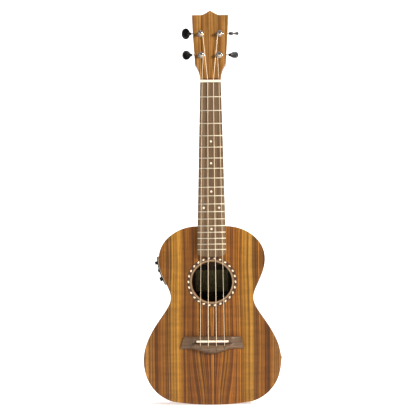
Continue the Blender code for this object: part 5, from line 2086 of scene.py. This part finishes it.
@dataclass
class OutputJack:
    """The output jack in the treble side: a nickel barrel, washer and hex nut."""

    layout: Layout
    z: float = 75.0 * MM
    depth: float = 36.0 * MM
    bore: float = 3.3 * MM
    barrel: float = 4.7 * MM
    washer: float = 7.0 * MM
    length: float = 22.0 * MM
    face: float = 1.1 * MM

    def place(self) -> Matrix:
        """The jack's frame on the side, with local Z pointing out of the body."""
        x = self.layout.edge_at(self.z)[0]
        spot = Matrix.Translation((x, self.layout.face_y + self.depth, self.z))
        return spot @ turn("Y", 90)

    def build(self) -> None:
        """Makes the jack and its nut."""
        front = self.face
        profile = [
            (self.bore, -self.length + 2 * MM), (self.bore, front + 0.9 * MM),
            (self.barrel - 0.5 * MM, front + 1.1 * MM), (self.barrel, front + 0.8 * MM),
            (self.barrel, front - 0.1 * MM), (self.washer - 0.3 * MM, front - 0.1 * MM),
            (self.washer, front - 0.4 * MM), (self.washer, 0.1 * MM), (self.barrel, 0.05 * MM),
            (self.barrel, -self.length),
        ]
        make_piece(
            "output_jack_turned", moved(turned(profile, 40), self.place()), NICKEL,
            replaces=["output_jack"], crease=TURNED_CREASE,
        )


# ================================================================ studio
@dataclass
class Studio:
    """The white sweep, which glows with painted light, the soft lights and the camera."""

    layout: Layout
    camera_distance: float = 3.54
    camera_x: float = -0.0024
    camera_z: float = 0.3258
    lens_mm: float = 180.0
    roll: float = math.radians(0.41)
    sweep_half: float = 6.0
    floor_from: float = -8.0
    wall_y: float = 3.2
    wall_height: float = 7.0
    bend: float = 1.2

    def build(self) -> None:
        """Makes the sweep, the lights, the sky and the camera."""
        self.lay_sweep()
        self.hang_lights()
        self.set_camera()

    def lay_sweep(self) -> None:
        """Makes the pale floor that curves up behind into a wall; it glows with painted light,
        faint at the front and bright towards the back.
        """
        bend, start = self.bend, self.wall_y - self.bend
        section = [(self.floor_from, 0.0), (0.0, 0.0), (start, 0.0)]
        for i in range(1, 17):
            angle = math.pi / 2 * i / 16
            section.append((start + bend * math.sin(angle), bend * (1 - math.cos(angle))))
        section.append((self.wall_y, self.wall_height))
        bm = bmesh.new()
        columns = []
        for x in (-self.sweep_half, self.sweep_half):
            columns.append([bm.verts.new((x, y, z - 0.05 * MM)) for y, z in section])
        for i in range(len(section) - 1):
            bm.faces.new((columns[0][i], columns[1][i], columns[1][i + 1], columns[0][i + 1]))
        mesh = bpy.data.meshes.new("studio_sweep")
        bm.to_mesh(mesh)
        bm.free()
        mesh.shade_smooth()
        sweep = bpy.data.objects.new("studio_sweep", mesh)
        bpy.context.scene.collection.objects.link(sweep)
        paper = bpy.data.materials.new("paper_white_glowing")
        paper.use_nodes = True
        tree = paper.node_tree
        shader = tree.nodes["Principled BSDF"]
        place = add_node(tree, "TexCoord").outputs["Object"]
        tone = add_node(tree, "TexNoise", {"Vector": place, "Scale": 3.0}).outputs[0]
        depth = add_node(tree, "SeparateXYZ", {0: place}).outputs[1]
        feeds = {
            "Base Color": wired(
                tree, "ValToRGB", tone, stops=[(0.3, grey(0.93)), (0.7, grey(0.96))]
            ),
            "Roughness": 0.9,
            "Specular IOR Level": 0.1,
            # Painted light: the sweep glows, faint at the front and bright towards the back wall.
            "Emission Color": to_linear("ffffff"),
            "Emission Strength": wired(tree, "MapRange", depth, -0.7, -0.1, 0.05, 0.6),
        }
        feed(tree, shader, feeds)
        mesh.materials.append(paper)

    def add_light(
        self, name: str, place: Vector, size: tuple[float, float], power: float, code: str
    ) -> None:
        """Hangs a soft box that faces the instrument.

        Args:
            name: the light's name.
            place: where it hangs.
            size: its width and height.
            power: its power in watts.
            code: its colour as sRGB hex.
        """
        light = bpy.data.lights.new(name, "AREA")
        light.shape = "RECTANGLE"
        light.size, light.size_y = size
        light.energy = power
        light.color = to_linear(code)[:3]
        lamp = bpy.data.objects.new(name, light)
        lamp.location = place
        aim = Vector((0, 0, 0.3)) - place
        lamp.rotation_euler = aim.to_track_quat("-Z", "Y").to_euler()
        bpy.context.scene.collection.objects.link(lamp)

    def hang_lights(self) -> None:
        """Sets the sky and the soft boxes."""
        world = bpy.data.worlds.new("studio_sky")
        world.use_nodes = True
        sky = world.node_tree.nodes["Background"]
        sky.inputs["Color"].default_value = to_linear("f4f7ff")
        sky.inputs["Strength"].default_value = 0.15
        bpy.context.scene.world = world
        self.add_light("key_box", Vector((2.3, -1.75, 1.7)), (0.45, 0.45), 166.0, "fff6ea")
        self.add_light("fill_box", Vector((-2.2, -2.6, 1.2)), (1.2, 1.2), 6.0, "f4f8ff")
        self.add_light("top_box", Vector((0.0, 0.3, 3.2)), (2.0, 2.0), 26.0, "ffffff")

    def set_camera(self) -> None:
        """Puts the camera straight in front, far off, with a long lens."""
        data = bpy.data.cameras.new("front_camera")
        data.lens = self.lens_mm
        data.clip_end = 50.0
        camera = bpy.data.objects.new("front_camera", data)
        camera.location = (self.camera_x, -self.camera_distance, self.camera_z)
        camera.rotation_euler = (math.pi / 2, self.roll, 0.0)
        bpy.context.scene.collection.objects.link(camera)
        bpy.context.scene.camera = camera
        bpy.context.scene.view_settings.view_transform = "Standard"


# ================================================================ assembly
def corners(bounds: tuple[Vector, Vector]) -> list[list[float]]:
    """A box's corners as plain lists."""
    return [list(bounds[0]), list(bounds[1])]


def main() -> None:
    """Builds every sub-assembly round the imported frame."""
    logging.basicConfig(level=logging.INFO, format="%(name)s %(message)s")
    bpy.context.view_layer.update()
    layout = Layout.read()
    Studio(layout).build()
    shell = BodyShell(layout)
    shell.build()
    Rosette(layout, shell).build()
    Inside(layout).build()
    headstock = Headstock(layout)
    headstock.build()
    Neck(layout, headstock).build()
    Bridge(layout).build()
    Strings(layout).build()
    Tuners(layout, headstock).build()
    Preamp(layout).build()
    OutputJack(layout).build()


if __name__ == "__main__":
    main()
